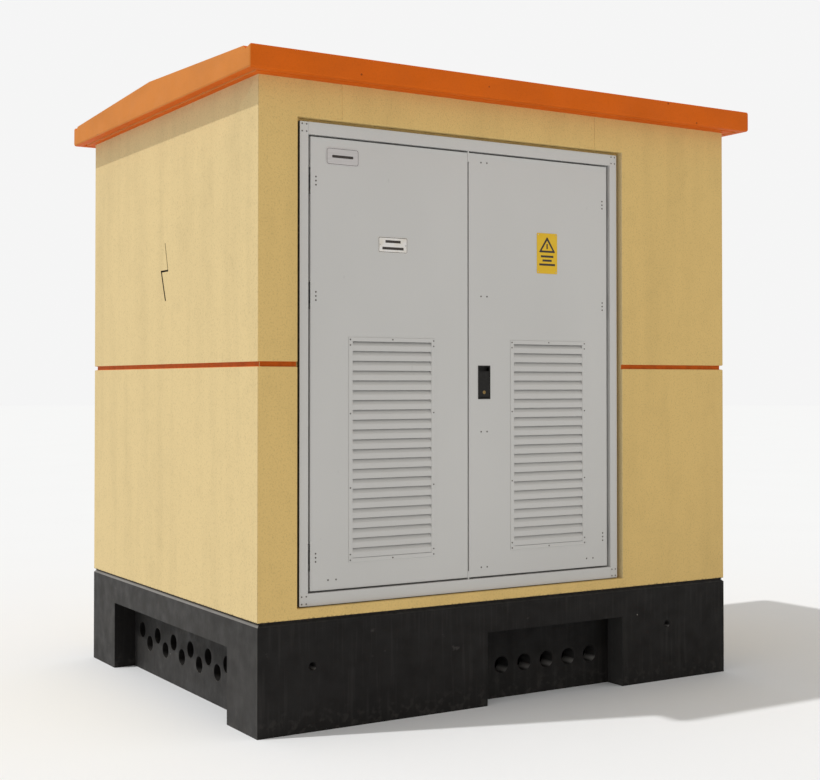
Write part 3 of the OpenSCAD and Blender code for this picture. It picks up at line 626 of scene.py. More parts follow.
def lathe(bm, centre, axis, profile, steps=32):
    """Spins an outline of (radius, place along the axis) pairs once round the axis."""
    across = Y if axis == X else X
    centre = Vector(centre)
    verts = [bm.verts.new(centre + across * r + axis * h) for r, h in profile]
    edges = [bm.edges.new(pair) for pair in zip(verts, verts[1:])]
    if profile[0] == profile[-1]:
        bmesh.ops.pointmerge(bm, verts=[verts[0], verts[-1]], merge_co=verts[0].co)
        verts = [v for v in verts if v.is_valid]
        edges = [e for e in edges if e.is_valid]
    bmesh.ops.spin(
        bm, geom=verts + edges, cent=centre, axis=axis, angle=2 * math.pi, steps=steps, use_merge=True
    )
    bmesh.ops.remove_doubles(bm, verts=bm.verts, dist=WELD)


def sharp_edges(bm, corner=CORNER):
    return [e for e in bm.edges if e.is_manifold and e.calc_face_angle(0.0) > corner]


def soften(bm, width, segments=2, edges=None):
    """Rounds the sharp edges of a solid."""
    bmesh.ops.bevel(
        bm,
        geom=sharp_edges(bm) if edges is None else edges,
        offset=width,
        offset_type="OFFSET",
        segments=segments,
        profile=0.5,
        affect="EDGES",
        material=-1,
        clamp_overlap=True,
        loop_slide=True,
    )


def welded(node):
    """A welded copy of a CAD node's mesh, with its flat faces joined up."""
    bm = bmesh.new()
    bm.from_mesh(frame["nodes"][node].data)
    for face in bm.faces:
        face.material_index = 0
    bmesh.ops.remove_doubles(bm, verts=bm.verts, dist=WELD)
    bmesh.ops.dissolve_limit(bm, angle_limit=FLAT, verts=bm.verts, edges=bm.edges)
    return bm


def solids(node):
    """The lowest and highest corner of each separate solid in a CAD node."""
    bm = welded(node)
    left = set(bm.verts)
    boxes = []
    while left:
        batch = [left.pop()]
        points = []
        while batch:
            vert = batch.pop()
            points.append(vert.co.copy())
            for edge in vert.link_edges:
                other = edge.other_vert(vert)
                if other in left:
                    left.discard(other)
                    batch.append(other)
        low = Vector([min(p[i] for p in points) for i in range(3)])
        high = Vector([max(p[i] for p in points) for i in range(3)])
        boxes.append((low, high))
    bm.free()
    return sorted(boxes, key=lambda box: tuple(round(v, 5) for v in box[0]))


def add_piece(name, bm, body, finishes, stands_for=(), recalculate=True):
    """Makes a mesh object at the origin, gives it finishes, and lets it ride on its body."""
    if recalculate:
        bmesh.ops.recalc_face_normals(bm, faces=bm.faces)
    for face in bm.faces:
        face.smooth = True
    for edge in sharp_edges(bm, ARRIS):
        edge.smooth = False
    mesh = bpy.data.meshes.new(name)
    bm.to_mesh(mesh)
    bm.free()
    for name_of_finish in finishes:
        mesh.materials.append(finish(name_of_finish))
    piece = bpy.data.objects.new(name, mesh)
    bpy.context.scene.collection.objects.link(piece)
    weighted = piece.modifiers.new("flat faces stay flat", "WEIGHTED_NORMAL")
    weighted.keep_sharp = True
    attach(piece, body)
    if stands_for:
        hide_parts(*stands_for)
    return piece


def restyle(node, width, segments=2, finishes=None, sort_faces=None, first=None, keep=None):
    """A finished copy of a CAD node.

    first shapes it, sort_faces picks each face's finish, and keep picks the edges to round.
    """
    bm = welded(node)
    if first:
        first(bm)
    if sort_faces:
        for face in bm.faces:
            face.material_index = sort_faces(face)
    soften(bm, width, segments, [e for e in sharp_edges(bm) if keep(e)] if keep else None)
    slot = SLOT_OF[node]
    return add_piece(
        node + "_finished", bm, BODY_OF[node], finishes or [slot], (node,), recalculate=False
    )


def hex_bolt(bm, centre, axis, across, height):
    """A hexagon head with a chamfered top, on a washer."""
    centre = Vector(centre)
    washer = height * 0.2
    rod(bm, centre, centre + axis * washer, across * 0.62, segments=32)
    rod(bm, centre + axis * washer, centre + axis * height * 0.85, across * 0.55, segments=6)
    top = centre + axis * height
    rod(bm, centre + axis * height * 0.85, top, across * 0.54, across * 0.44, segments=6)


# ------------------------------------------------------------------ the building


def low_corner(node):
    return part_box(node)[0]


def high_corner(node):
    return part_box(node)[1]


class KIOSK_OT_plinth(bpy.types.Operator):
    """Cast the black plinth and its two panels of duct holes"""

    bl_idname = "kiosk.plinth"
    bl_label = "Plinth"

    def execute(self, context):
        sizes = context.scene.kiosk_sizes
        restyle("base_plinth", sizes.plinth_arris, 3)
        restyle("cable_entry_panels", sizes.duct_rim, 2, ["panel_paint"])
        restyle("floor_slab", sizes.duct_rim, 2)
        return {"FINISHED"}


class KIOSK_OT_walls(bpy.types.Operator):
    """Render the four walls, paint the groove round them and the inside faces"""

    bl_idname = "kiosk.walls"
    bl_label = "Walls"

    def execute(self, context):
        sizes = context.scene.kiosk_sizes
        outer = Vector((high_corner("right_wall").x, high_corner("rear_wall").y))
        top = high_corner("front_wall").z
        finishes = ["ochre_render", "band_paint", "joint_shadow", "inner_wall"]

        def inset(point):
            return max(abs(point.x) - outer.x, abs(point.y) - outer.y)

        def pick(face):
            """The inner faces, then the band's groove, then the other grooves."""
            centre = face.calc_center_median()
            if inset(centre) < -0.095:
                return 3
            if inset(centre) > -0.002 or min(inset(v.co) for v in face.verts) < -0.016:
                return 0
            return 1 if abs(centre.z - sizes.band_height) < 0.015 else 2

        def roomy(edge):
            """Edges near the outer face, with room for the rounding beside them."""
            outside = max(max(abs(v.co.x) - outer.x, abs(v.co.y) - outer.y) for v in edge.verts)
            beside = {e for v in edge.verts for e in v.link_edges}
            room = min(e.calc_length() for e in beside) > 2 * sizes.wall_arris
            return outside > -0.02 and room and min(v.co.z for v in edge.verts) < top - WELD

        for node in ("left_wall", "right_wall", "rear_wall", "front_wall"):
            restyle(node, sizes.wall_arris, 3, finishes, pick, keep=roomy)
        return {"FINISHED"}


class KIOSK_OT_roof(bpy.types.Operator):
    """Cast the roof slab with chamfered ends"""

    bl_idname = "kiosk.roof"
    bl_label = "Roof"

    def execute(self, context):
        sizes = context.scene.kiosk_sizes
        low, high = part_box("roof_slab")

        def chamfer_ends(bm):
            ends = [
                e
                for e in sharp_edges(bm)
                if all(min(v.co.x - low.x, high.x - v.co.x) < WELD for v in e.verts)
                and any(min(v.co.y - low.y, high.y - v.co.y) < 0.02 for v in e.verts)
            ]
            soften(bm, sizes.roof_corner * 0.5, 2, ends)

        restyle("roof_slab", sizes.roof_arris, 2, first=chamfer_ends)
        return {"FINISHED"}


# ------------------------------------------------------------------ doors


class KIOSK_OT_door_frame(bpy.types.Operator):
    """Fold the door frame and lay its rubber seal"""

    bl_idname = "kiosk.door_frame"
    bl_label = "Door frame"

    def execute(self, context):
        sizes = context.scene.kiosk_sizes
        low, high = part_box("frame_stiles")

        def tape_outside(face):
            """Painted shade: black rubber on the frame's outer sides, between it and its mortar, makes the gap round
            the frame look dark.
            """
            centre = face.calc_center_median()
            side = min(centre.x - low.x, high.x - centre.x)
            end = min(centre.z - low.z, high.z - centre.z)
            return 1 if min(side, end) < WELD and abs(face.normal.y) < 0.5 else 0

        for node in ("frame_stiles", "frame_rails"):
            restyle(node, sizes.frame_fold, 2, ["door_grey", "black_rubber"], tape_outside)
        restyle("door_seal", 0.0035, 3)
        return {"FINISHED"}


class KIOSK_OT_leaves(bpy.types.Operator):
    """Fold the two door leaves with their stiffeners"""

    bl_idname = "kiosk.leaves"
    bl_label = "Leaves"

    def execute(self, context):
        sizes = context.scene.kiosk_sizes
        for side in ("left", "right"):
            restyle(side + "_leaf_panel", sizes.leaf_fold)
            restyle(side + "_leaf_stiffeners", 0.0008)
            restyle(side + "_grille_frame", 0.0008)
        return {"FINISHED"}


class KIOSK_OT_grilles(bpy.types.Operator):
    """Bend the louvre blades between their cheeks, and stretch the insect mesh behind them"""

    bl_idname = "kiosk.grilles"
    bl_label = "Grilles"

    def execute(self, context):
        sizes = context.scene.kiosk_sizes
        for side in ("left", "right"):
            node = side + "_grille_blades"
            low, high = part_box(node)
            self.blades(side, node, low, high, sizes)
            self.mesh(side, low, high, sizes)
        return {"FINISHED"}

    @staticmethod
    def blades(side, node, low, high, sizes):
        """Each blade has a hemmed front lip, and leans back behind the next blade's lip."""
        cheek = 0.002
        pitch = (high.z - sizes.blade_lap - low.z) / sizes.blades
        front = low.y + 0.0008
        hem = [
            (front + 0.005, 0.0014),
            (front, 0.0008),
            (front, sizes.blade_rise),
            (low.y + 0.0158, pitch + sizes.blade_lap - 0.0004),
        ]
        outline = rounded(hem, 0.0022, 3, closed=False)
        bm = bmesh.new()
        for i in range(sizes.blades):
            base = low.z + i * pitch
            verts = [bm.verts.new((low.x + cheek * 0.6, y, base + z)) for y, z in outline]
            edges = [bm.edges.new(pair) for pair in zip(verts, verts[1:])]
            swept = bmesh.ops.extrude_edge_only(bm, edges=edges)
            width = high.x - low.x - cheek * 1.2
            bmesh.ops.translate(bm, verts=verts_of(swept), vec=X * width)
        bmesh.ops.recalc_face_normals(bm, faces=bm.faces)
        bmesh.ops.solidify(bm, geom=bm.faces[:] + bm.edges[:] + bm.verts[:], thickness=sizes.blade_sheet / 2)
        for x in (low.x, high.x - cheek):
            bar(bm, (x, low.y, low.z), (x + cheek, high.y, high.z - sizes.blade_lap))
        add_piece(side + "_louvre_blades", bm, side + "_leaf", ["door_grey"], stands_for=(node,))

    @staticmethod
    def mesh(side, low, high, sizes):
        """Square wire mesh in a narrow frame on the back of the cheeks."""
        top = high.z - sizes.blade_lap
        y = high.y + 0.0012
        half = sizes.wire / 2
        bm = bmesh.new()
        across = round((high.x - low.x) / sizes.wire_pitch)
        for i in range(1, across):
            x = low.x + (high.x - low.x) * i / across
            bar(bm, (x - half, y - half, low.z), (x + half, y + half, top))
        up = round((top - low.z) / sizes.wire_pitch)
        for i in range(1, up):
            z = low.z + (top - low.z) * i / up
            bar(bm, (low.x, y - half, z - half), (high.x, y + half, z + half))
        add_piece(side + "_insect_mesh", bm, side + "_leaf", ["zinc_plate"])
        bm = bmesh.new()
        outer = rectangle((low.x - 0.008, low.z - 0.008), (high.x + 0.008, top + 0.008))
        hole = rectangle((low.x + 0.006, low.z + 0.006), (high.x - 0.006, top - 0.006))
        plate(bm, Y, high.y, high.y + 0.0025, rounded(outer, 0.004), [hole])
        soften(bm, 0.0004, 1)
        add_piece(side + "_mesh_frame", bm, side + "_leaf", ["zinc_plate"])


class KIOSK_OT_fasteners(bpy.types.Operator):
    """Set the domed rivet heads on the frame and the leaves"""

    bl_idname = "kiosk.fasteners"
    bl_label = "Rivets"

    def execute(self, context):
        for node in ("frame_rivets", "left_leaf_fasteners", "right_leaf_fasteners"):
            bm = bmesh.new()
            for low, high in solids(node):
                self.head(bm, low, high)
            add_piece(node + "_heads", bm, BODY_OF[node], ["rivet_steel"], (node,))
        return {"FINISHED"}

    @staticmethod
    def head(bm, low, high):
        """A blind rivet: a dome with its mandrel left in a small pit."""
        radius = (high.x - low.x) / 2
        height = high.y - low.y
        centre = ((low.x + high.x) / 2, high.y, (low.z + high.z) / 2)
        dome = [(radius * math.cos(t), height * (0.25 + 0.75 * math.sin(t))) for t in (0, 0.4, 0.8, 1.1)]
        profile = [(0, 0), (radius, 0), *dome]
        profile += [(radius * 0.32, height * 0.7), (radius * 0.24, height * 0.5), (0, height * 0.62)]
        lathe(bm, centre, -Y, profile, 16)


class KIOSK_OT_hinges(bpy.types.Operator):
    """Finish the hinges and their pins"""

    bl_idname = "kiosk.hinges"
    bl_label = "Hinges"

    def execute(self, context):
        restyle("hinge_frame_halves", 0.0007)
        restyle("left_hinge_leaf_halves", 0.0007)
        restyle("right_hinge_leaf_halves", 0.0007)
        bm = bmesh.new()
        for low, high in solids("hinge_pins"):
            radius = (high.x - low.x) / 2
            tall = high.z - low.z
            foot = ((low.x + high.x) / 2, (low.y + high.y) / 2, low.z)
            profile = [(0, 0), (radius * 0.6, 0), (radius, radius * 0.5), (radius, tall - radius * 0.5)]
            profile += [(radius * 0.85, tall - radius * 0.2), (radius * 0.5, tall - 0.0002), (0, tall)]
            lathe(bm, foot, Z, profile, 24)
        add_piece("hinge_pins_turned", bm, BODY_OF["hinge_pins"], ["bare_steel"], stands_for=("hinge_pins",))
        return {"FINISHED"}


class KIOSK_OT_plates(bpy.types.Operator):
    """Make the three plates on the doors, with generic marks and no lettering"""

    bl_idname = "kiosk.plates"
    bl_label = "Plates"

    def execute(self, context):
        self.maker()
        self.room()
        self.warning()
        return {"FINISHED"}

    @staticmethod
    def print_on(node, outlines):
        """A thin print on a plate's face: each entry is an outline with its holes."""
        face = low_corner(node).y
        bm = bmesh.new()
        for outline, holes in outlines:
            plate(bm, Y, face - 0.0002, face + 0.0001, outline, holes)
        add_piece(node + "_print", bm, BODY_OF[node], ["print_ink"])

    @staticmethod
    def screws(node, places):
        face = low_corner(node).y
        bm = bmesh.new()
        for x, z in places:
            profile = [(0, 0), (0.0028, 0), (0.0026, 0.0007), (0.0016, 0.0012)]
            profile += [(0.0012, 0.0007), (0, 0.0007)]
            lathe(bm, (x, face, z), -Y, profile, 20)
        add_piece(node + "_screws", bm, BODY_OF[node], ["zinc_plate"])

    def maker(self):
        """A silver plate with a sunk border and one plain band."""
        low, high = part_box("maker_plate")
        restyle("maker_plate", 0.0004)
        edge = [(low.x + 0.004, low.z + 0.004), (high.x - 0.004, high.z - 0.004)]
        inner = [(low.x + 0.0055, low.z + 0.0055), (high.x - 0.0055, high.z - 0.0055)]
        border = rounded(rectangle(*edge), 0.012)
        hole = rounded(rectangle(*inner), 0.0105)
        middle = (low.z + high.z) / 2
        band = rounded(rectangle((low.x + 0.03, middle - 0.006), (high.x - 0.03, middle + 0.006)), 0.004)
        self.print_on("maker_plate", [(border, [hole]), (band, [])])

    def room(self):
        """A white plate with a border, two plain bars and a screw at each end."""
        low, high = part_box("room_plate")
        restyle("room_plate", 0.0004)
        border = rounded(rectangle((low.x + 0.002, low.z + 0.002), (high.x - 0.002, high.z - 0.002)), 0.005)
        hole = rounded(rectangle((low.x + 0.0042, low.z + 0.0042), (high.x - 0.0042, high.z - 0.0042)), 0.004)
        middle = (low.z + high.z) / 2
        bars = []
        for side, half in ((1, 0.040), (-1, 0.056)):
            centre = (low.x + high.x) / 2
            z = middle + side * 0.0155
            bars.append((rectangle((centre - half, z - 0.006), (centre + half, z + 0.006)), []))
        self.print_on("room_plate", [(border, [hole]), *bars])
        self.screws("room_plate", [(low.x + 0.0095, middle), (high.x - 0.0095, middle)])

    def warning(self):
        """A yellow plate with a plain triangle, three plain bars and four screws."""
        low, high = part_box("warning_plate")
        restyle("warning_plate", 0.0004)
        centre = (low.x + high.x) / 2
        top = high.z - 0.016
        foot = top - 0.078
        outer = [(centre - 0.050, foot), (centre + 0.050, foot), (centre, top)]
        inner = [(centre - 0.0335, foot + 0.0095), (centre + 0.0335, foot + 0.0095), (centre, top - 0.0195)]
        mark = rounded(rectangle((centre - 0.004, foot + 0.017), (centre + 0.004, top - 0.035)), 0.003)
        prints = [(rounded(outer, 0.008), [rounded(inner, 0.003)]), (mark, [])]
        for i, half in enumerate((0.038, 0.028, 0.048)):
            z = foot - 0.019 - i * 0.020
            prints.append((rectangle((centre - half, z - 0.005), (centre + half, z + 0.005)), []))
        self.print_on("warning_plate", prints)
        corners = [(x, z) for x in (low.x + 0.008, high.x - 0.008) for z in (low.z + 0.008, high.z - 0.008)]
        self.screws("warning_plate", corners)


class KIOSK_OT_handle(bpy.types.Operator):
    """Mould the flush handle with its paddle, pin and lock"""

    bl_idname = "kiosk.handle"
    bl_label = "Handle"

    def execute(self, context):
        restyle("handle_housing", 0.0007, first=self.round_corners)
        restyle("handle_paddle", 0.0007, first=self.roll_lip)
        restyle("paddle_pin", 0.0005)
        restyle("lock_cylinder", 0.0004)
        return {"FINISHED"}

    @staticmethod
    def round_corners(bm):
        """Rounds the flange's four corners."""
        low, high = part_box("handle_housing")
        corners = [
            e
            for e in sharp_edges(bm)
            if all(min(v.co.x - low.x, high.x - v.co.x) < WELD for v in e.verts)
            and all(min(v.co.z - low.z, high.z - v.co.z) < WELD for v in e.verts)
        ]
        soften(bm, 0.005, 4, corners)

    @staticmethod
    def roll_lip(bm):
        """Rolls the paddle's finger edge."""
        low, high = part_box("handle_paddle")
        top = [e for e in sharp_edges(bm) if all(high.z - v.co.z < WELD for v in e.verts)]
        soften(bm, 0.003, 4, [e for e in top if all(v.co.y - low.y < WELD for v in e.verts)])


class KIOSK_OT_latch(bpy.types.Operator):
    """Finish the latch, its rods, the shoot bolts and the door stays"""

    bl_idname = "kiosk.latch"
    bl_label = "Latch and stays"

    def execute(self, context):
        for node in ("latch_case", "latch_cam", "top_latch_rod", "bottom_latch_rod"):
            restyle(node, 0.0008)
        for node in ("top_shoot_bolt", "bottom_shoot_bolt"):
            restyle(node, 0.0012)
        for node in ("left_stay_arm", "right_stay_arm"):
            restyle(node, 0.0006)
        return {"FINISHED"}


# ------------------------------------------------------------------ transformer


class KIOSK_OT_tank(bpy.types.Operator):
    """Weld the tank, its folded cooling walls and its cover with bolts and lifting lugs"""

    bl_idname = "kiosk.tank"
    bl_label = "Tank"

    def execute(self, context):
        sizes = context.scene.kiosk_sizes
        restyle("transformer_tank", 0.003)
        restyle("cooling_walls", sizes.fin_edge)
        restyle("tank_cover", 0.002)
        self.fin_ties()
        self.bolts()
        self.gasket()
        self.rating_plate()
        return {"FINISHED"}

    @staticmethod
    def fin_ties():
        """Round bars welded along the edges of the long cooling walls."""
        low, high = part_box("cooling_walls")
        tank_low, tank_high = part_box("tank_cover")
        bm = bmesh.new()
        for y in (low.y + 0.002, high.y - 0.002):
            for share in (0.12, 0.88):
                z = low.z + (high.z - low.z) * share
                rod(bm, (tank_low.x + 0.06, y, z), (tank_high.x - 0.06, y, z), 0.004)
        soften(bm, 0.001, 2)
        add_piece("fin_tie_bars", bm, BODY_OF["cooling_walls"], ["tank_paint"])

    @staticmethod
    def bolts():
        """Hexagon bolts round the cover, and two lugs with round tops."""
        bolts = bmesh.new()
        lugs = bmesh.new()
        for low, high in solids("cover_bolts"):
            tall = high.z - low.z
            if tall < 0.02:
                centre = ((low.x + high.x) / 2, (low.y + high.y) / 2, low.z)
                hex_bolt(bolts, centre, Z, (high.y - low.y) * 0.98, tall)
                continue
            y = (low.y + high.y) / 2
            outline = [(low.y, low.z), (high.y, low.z), (y + 0.026, high.z), (y - 0.026, high.z)]
            eye = ring((y, low.z + tall * 0.6), 0.016)
            plate(lugs, X, low.x, high.x, rounded(outline, 0.02), [eye])
        soften(lugs, 0.001, 2)
        add_piece("cover_bolt_heads", bolts, BODY_OF["cover_bolts"], ["zinc_plate"], stands_for=("cover_bolts",))
        add_piece("lifting_lugs", lugs, BODY_OF["cover_bolts"], ["tank_paint"])

    @staticmethod
    def gasket():
        """The cork and rubber gasket that shows as a line under the cover."""
        low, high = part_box("tank_cover")
        bm = bmesh.new()
        proud = 0.0008
        outer = rectangle((low.x - proud, low.y - proud), (high.x + proud, high.y + proud))
        hole = rectangle((low.x + 0.02, low.y + 0.02), (high.x - 0.02, high.y - 0.02))
        plate(bm, Z, low.z - 0.0015, low.z + 0.0015, rounded(outer, 0.003), [hole])
        add_piece("cover_gasket", bm, BODY_OF["tank_cover"], ["black_rubber"])

    @staticmethod
    def rating_plate():
        """A blank plate above the fins on the door side."""
        low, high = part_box("tank_cover")
        wall = low.y + 0.030
        x = (low.x + high.x) / 2 + 0.25
        z = low.z - 0.066
        bm = bmesh.new()
        outline = rounded(rectangle((x - 0.08, z - 0.036), (x + 0.08, z + 0.036)), 0.005)
        plate(bm, Y, wall - 0.0015, wall, outline)
        for dx in (-0.074, 0.074):
            for dz in (-0.030, 0.030):
                lathe(bm, (x + dx, wall - 0.0015, z + dz), -Y, [(0, 0), (0.0025, 0), (0.002, 0.001), (0, 0.0013)], 12)
        add_piece("rating_plate", bm, BODY_OF["tank_cover"], ["plate_silver"])


class KIOSK_OT_core(bpy.types.Operator):
    """Stack the core and wind its coils"""

    bl_idname = "kiosk.core"
    bl_label = "Core and windings"

    def execute(self, context):
        restyle("core", 0.002)
        restyle("lv_windings", 0.004)
        restyle("hv_windings", 0.004)
        return {"FINISHED"}


class KIOSK_OT_bushings(bpy.types.Operator):
    """Glaze the porcelain bushings and fit their terminals"""

    bl_idname = "kiosk.bushings"
    bl_label = "Bushings"

    def execute(self, context):
        sizes = context.scene.kiosk_sizes
        self.glaze("hv_bushings", 5, 0.032, sizes.shed_lip)
        self.glaze("lv_bushings", 2, 0.030, sizes.shed_lip)
        restyle("bushing_terminals", 0.0012)
        return {"FINISHED"}

    @staticmethod
    def glaze(node, sheds, neck, lip):
        """Each bushing is one turned outline: a foot, sheds that droop, and a round top."""
        bm = bmesh.new()
        for low, high in solids(node):
            tall = high.z - low.z
            wide = (high.x - low.x) / 2
            step = tall / (sheds + 1)
            outline = [(0, 0), (neck + 0.008, 0), (neck + 0.008, step * 0.40)]
            for i in range(1, sheds + 1):
                z = i * step
                outline += [(neck, z - step * 0.33), (wide - lip, z - step * 0.16)]
                outline += [(wide, z - step * 0.16), (wide, z - step * 0.02), (neck, z + step * 0.28)]
            outline += [(neck - 0.004, tall), (0, tall)]
            profile = rounded(outline, lip, 3, closed=False)
            centre = ((low.x + high.x) / 2, (low.y + high.y) / 2, low.z)
            lathe(bm, centre, Z, [(max(p[0], 0.0), p[1]) for p in profile], 40)
        add_piece(node + "_glazed", bm, BODY_OF[node], ["porcelain"], stands_for=(node,))


class KIOSK_OT_undercarriage(bpy.types.Operator):
    """Finish the rails, the wheels and their bearers"""

    bl_idname = "kiosk.undercarriage"
    bl_label = "Undercarriage"

    def execute(self, context):
        restyle("undercarriage", 0.003)
        restyle("front_wheelset", 0.0025)
        restyle("rear_wheelset", 0.0025)
        restyle("wheel_rails", 0.002)
        return {"FINISHED"}


class KIOSK_OT_fittings(bpy.types.Operator):
    """Fit the tap changer knob, drain valve, oil gauge and earth bar"""

    bl_idname = "kiosk.fittings"
    bl_label = "Fittings"

    def execute(self, context):
        restyle("tap_changer_knob", 0.003, 3)
        restyle("drain_valve", 0.001)
        restyle("oil_gauge", 0.0015)
        restyle("earth_bar", 0.0008)
        self.handwheel()
        self.gauge_face()
        self.earth_bolts()
        self.tap_dial()
        return {"FINISHED"}

    @staticmethod
    def handwheel():
        """A round rim on three spokes and a hub."""
        low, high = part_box("valve_wheel")
        x, y = (low.x + high.x) / 2, (low.y + high.y) / 2
        z = high.z - 0.003
        radius = (high.x - low.x) / 2 - 0.0035
        bm = bmesh.new()
        rim = [(radius + a, b) for a, b in ring((0, 0), 0.003, 12)]
        lathe(bm, (x, y, z), Z, [*rim, rim[0]], 48)
        for turn in (0.0, 2.1, 4.2):
            end = (x + radius * math.cos(turn), y + radius * math.sin(turn), z)
            rod(bm, (x, y, z), end, 0.0022, segments=12)
        lathe(bm, (x, y, low.z), Z, [(0, 0), (0.005, 0), (0.005, 0.010), (0.007, 0.0125), (0.007, high.z - low.z), (0, high.z - low.z)], 24)
        add_piece("drain_handwheel", bm, BODY_OF["valve_wheel"], ["valve_red"], stands_for=("valve_wheel",))

    @staticmethod
    def gauge_face():
        """A white dial with a plain pointer, a scale and a bezel."""
        low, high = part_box("oil_gauge")
        x = (low.x + high.x) / 2
        z = high.z - (high.x - low.x) / 2
        radius = (high.x - low.x) / 2
        face = low.y
        bm = bmesh.new()
        plate(bm, Y, face - 0.003, face, ring((x, z), radius, 40), [ring((x, z), radius - 0.005, 40)])
        soften(bm, 0.0008, 2)
        add_piece("gauge_bezel", bm, BODY_OF["oil_gauge"], ["zinc_plate"])
        bm = bmesh.new()
        for i in range(9):
            turn = math.radians(-40 + i * 32.5)
            out = Vector((math.cos(turn), 0, math.sin(turn)))
            rod(bm, Vector((x, face, z)) + out * 0.019, Vector((x, face, z)) + out * 0.025, 0.0006, segments=6)
        rod(bm, (x - 0.004, face - 0.0008, z - 0.004), (x + 0.014, face - 0.0008, z + 0.014), 0.0012, 0.0004, 8)
        add_piece("gauge_scale", bm, BODY_OF["oil_gauge"], ["print_ink"])

    @staticmethod
    def earth_bolts():
        """Bolts along the earth bar, two of them through its stand-offs."""
        low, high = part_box("earth_bar")
        z = (low.z + high.z) / 2
        bm = bmesh.new()
        count = 7
        for i in range(count):
            y = low.y + 0.04 + (high.y - low.y - 0.08) * i / (count - 1)
            hex_bolt(bm, (low.x, y, z), -X, 0.017, 0.009)
        add_piece("earth_bar_bolts", bm, BODY_OF["earth_bar"], ["zinc_plate"])

    @staticmethod
    def tap_dial():
        """A plate with five raised ticks round the tap changer's knob."""
        low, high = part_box("tap_changer_knob")
        x, y = (low.x + high.x) / 2, (low.y + high.y) / 2
        bm = bmesh.new()
        plate(bm, Z, low.z, low.z + 0.0015, ring((x, y), 0.055, 48), [ring((x, y), 0.027, 48)])
        soften(bm, 0.0004, 1)
        for i in range(5):
            turn = math.radians(36 * i)
            out = Vector((math.cos(turn), math.sin(turn), 0))
            start = Vector((x, y, low.z + 0.0018)) + out * 0.040
            rod(bm, start, start + out * 0.010, 0.0012, segments=8)
        add_piece("tap_dial", bm, BODY_OF["tank_cover"], ["plate_silver"])


# ------------------------------------------------------------------ stage


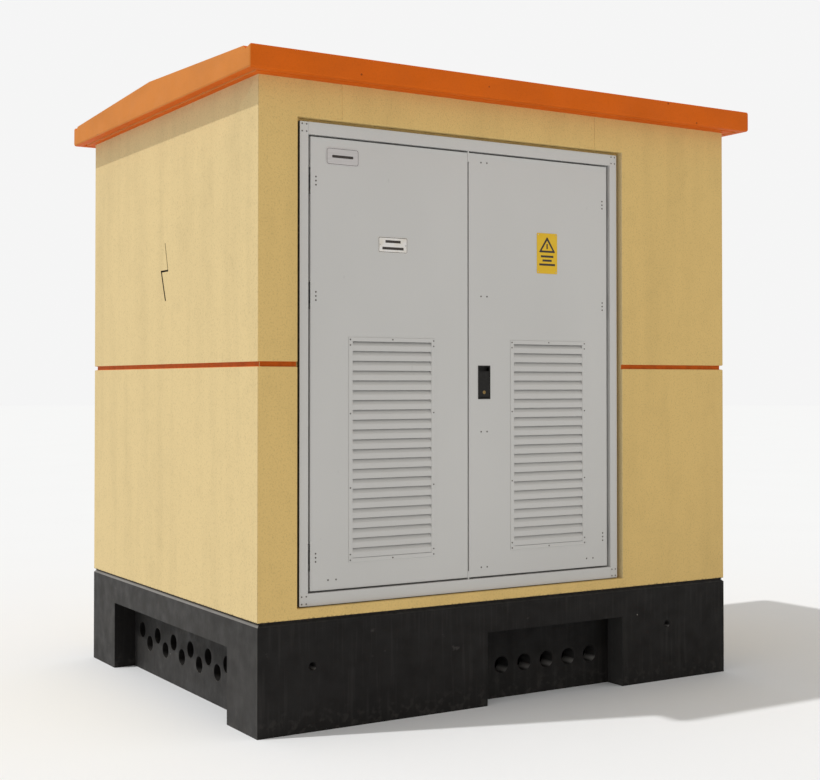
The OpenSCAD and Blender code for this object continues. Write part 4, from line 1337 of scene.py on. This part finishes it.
class KIOSK_OT_stage(bpy.types.Operator):
    """Set the pale floor, the soft light and the camera"""

    bl_idname = "kiosk.stage"
    bl_label = "Stage"

    def execute(self, context):
        self.floor()
        self.light()
        self.sky()
        self.camera(context)
        return {"FINISHED"}

    @staticmethod
    def floor():
        bm = bmesh.new()
        bmesh.ops.create_circle(bm, cap_ends=True, segments=96, radius=90.0)
        mesh = bpy.data.meshes.new("floor")
        bm.to_mesh(mesh)
        bm.free()
        r = Recipe("pale_floor", (0.84, 0.865, 0.90), 1.0)
        r.shader.inputs["Specular IOR Level"].default_value = 0.0
        r.tone(r.between(r.blotches(1.5, 2.0), 0.3, 0.8), 0.99)
        mesh.materials.append(r.material)
        floor = bpy.data.objects.new("floor", mesh)
        bpy.context.scene.collection.objects.link(floor)

    @staticmethod
    def light():
        """A soft key from the left and a little behind, as high as the roof's shadow asks."""
        lamp = bpy.data.lights.new("key", "SUN")
        lamp.energy = 1.75
        lamp.angle = math.radians(1.2)
        lamp.color = (1.0, 0.975, 0.94)
        key = bpy.data.objects.new("key", lamp)
        key.rotation_euler = Vector((-1.0, 0.32, 1.55)).to_track_quat("Z", "Y").to_euler()
        bpy.context.scene.collection.objects.link(key)

    @staticmethod
    def sky():
        """Even light from all round, seen by the camera as a plain pale backdrop."""
        world = bpy.data.worlds.new("soft room")
        world.use_nodes = True
        tree = world.node_tree
        tree.nodes.clear()
        fill = tree.nodes.new("ShaderNodeBackground")
        fill.inputs["Color"].default_value = (1.0, 0.97, 0.92, 1.0)
        fill.inputs["Strength"].default_value = 0.65
        seen = tree.nodes.new("ShaderNodeBackground")
        seen.inputs["Color"].default_value = (0.915, 0.915, 0.915, 1.0)
        path = tree.nodes.new("ShaderNodeLightPath")
        mix = tree.nodes.new("ShaderNodeMixShader")
        out = tree.nodes.new("ShaderNodeOutputWorld")
        tree.links.new(path.outputs["Is Camera Ray"], mix.inputs[0])
        tree.links.new(fill.outputs[0], mix.inputs[1])
        tree.links.new(seen.outputs[0], mix.inputs[2])
        tree.links.new(mix.outputs[0], out.inputs["Surface"])
        bpy.context.scene.world = world
        bpy.context.scene.view_settings.view_transform = "Standard"

    @staticmethod
    def camera(context):
        """Eye height, off the left front corner, with the frame a little low."""
        lens = bpy.data.cameras.new("camera")
        lens.lens = 61.08
        lens.sensor_width = 36.0
        lens.shift_y = -0.0341
        lens.clip_end = 500.0
        eye = bpy.data.objects.new("camera", lens)
        eye.location = (-3.904, -6.439, 1.514)
        eye.rotation_euler = (math.radians(90.88), 0.0, math.radians(-31.6))
        context.scene.collection.objects.link(eye)
        context.scene.camera = eye


# ------------------------------------------------------------------ add-on

STEPS = (
    KIOSK_OT_stage,
    KIOSK_OT_plinth,
    KIOSK_OT_walls,
    KIOSK_OT_roof,
    KIOSK_OT_door_frame,
    KIOSK_OT_leaves,
    KIOSK_OT_grilles,
    KIOSK_OT_fasteners,
    KIOSK_OT_hinges,
    KIOSK_OT_plates,
    KIOSK_OT_handle,
    KIOSK_OT_latch,
    KIOSK_OT_tank,
    KIOSK_OT_core,
    KIOSK_OT_bushings,
    KIOSK_OT_undercarriage,
    KIOSK_OT_fittings,
)


class KIOSK_PT_panel(bpy.types.Panel):
    """Lists the kiosk's pieces in the order in which they are made"""

    bl_idname = "KIOSK_PT_panel"
    bl_label = "Kiosk"
    bl_space_type = "VIEW_3D"
    bl_region_type = "UI"
    bl_category = "Kiosk"

    def draw(self, context):
        for step in STEPS:
            self.layout.operator(step.bl_idname)
        for group in (context.scene.kiosk_sizes, context.scene.kiosk_colours):
            box = self.layout.box()
            for name in group.__annotations__:
                box.prop(group, name)


CLASSES = (KioskSizes, KioskColours, *STEPS, KIOSK_PT_panel)


def register():
    for cls in CLASSES:
        bpy.utils.register_class(cls)
    bpy.types.Scene.kiosk_sizes = PointerProperty(type=KioskSizes)
    bpy.types.Scene.kiosk_colours = PointerProperty(type=KioskColours)


def unregister():
    del bpy.types.Scene.kiosk_colours
    del bpy.types.Scene.kiosk_sizes
    for cls in reversed(CLASSES):
        bpy.utils.unregister_class(cls)


def main():
    register()
    for step in STEPS:
        group, name = step.bl_idname.split(".")
        getattr(getattr(bpy.ops, group), name)()
    for node, piece in frame["nodes"].items():
        if not piece.hide_render:
            piece.data.materials.clear()
            piece.data.materials.append(finish(SLOT_OF[node]))


if __name__ == "__main__":
    main()
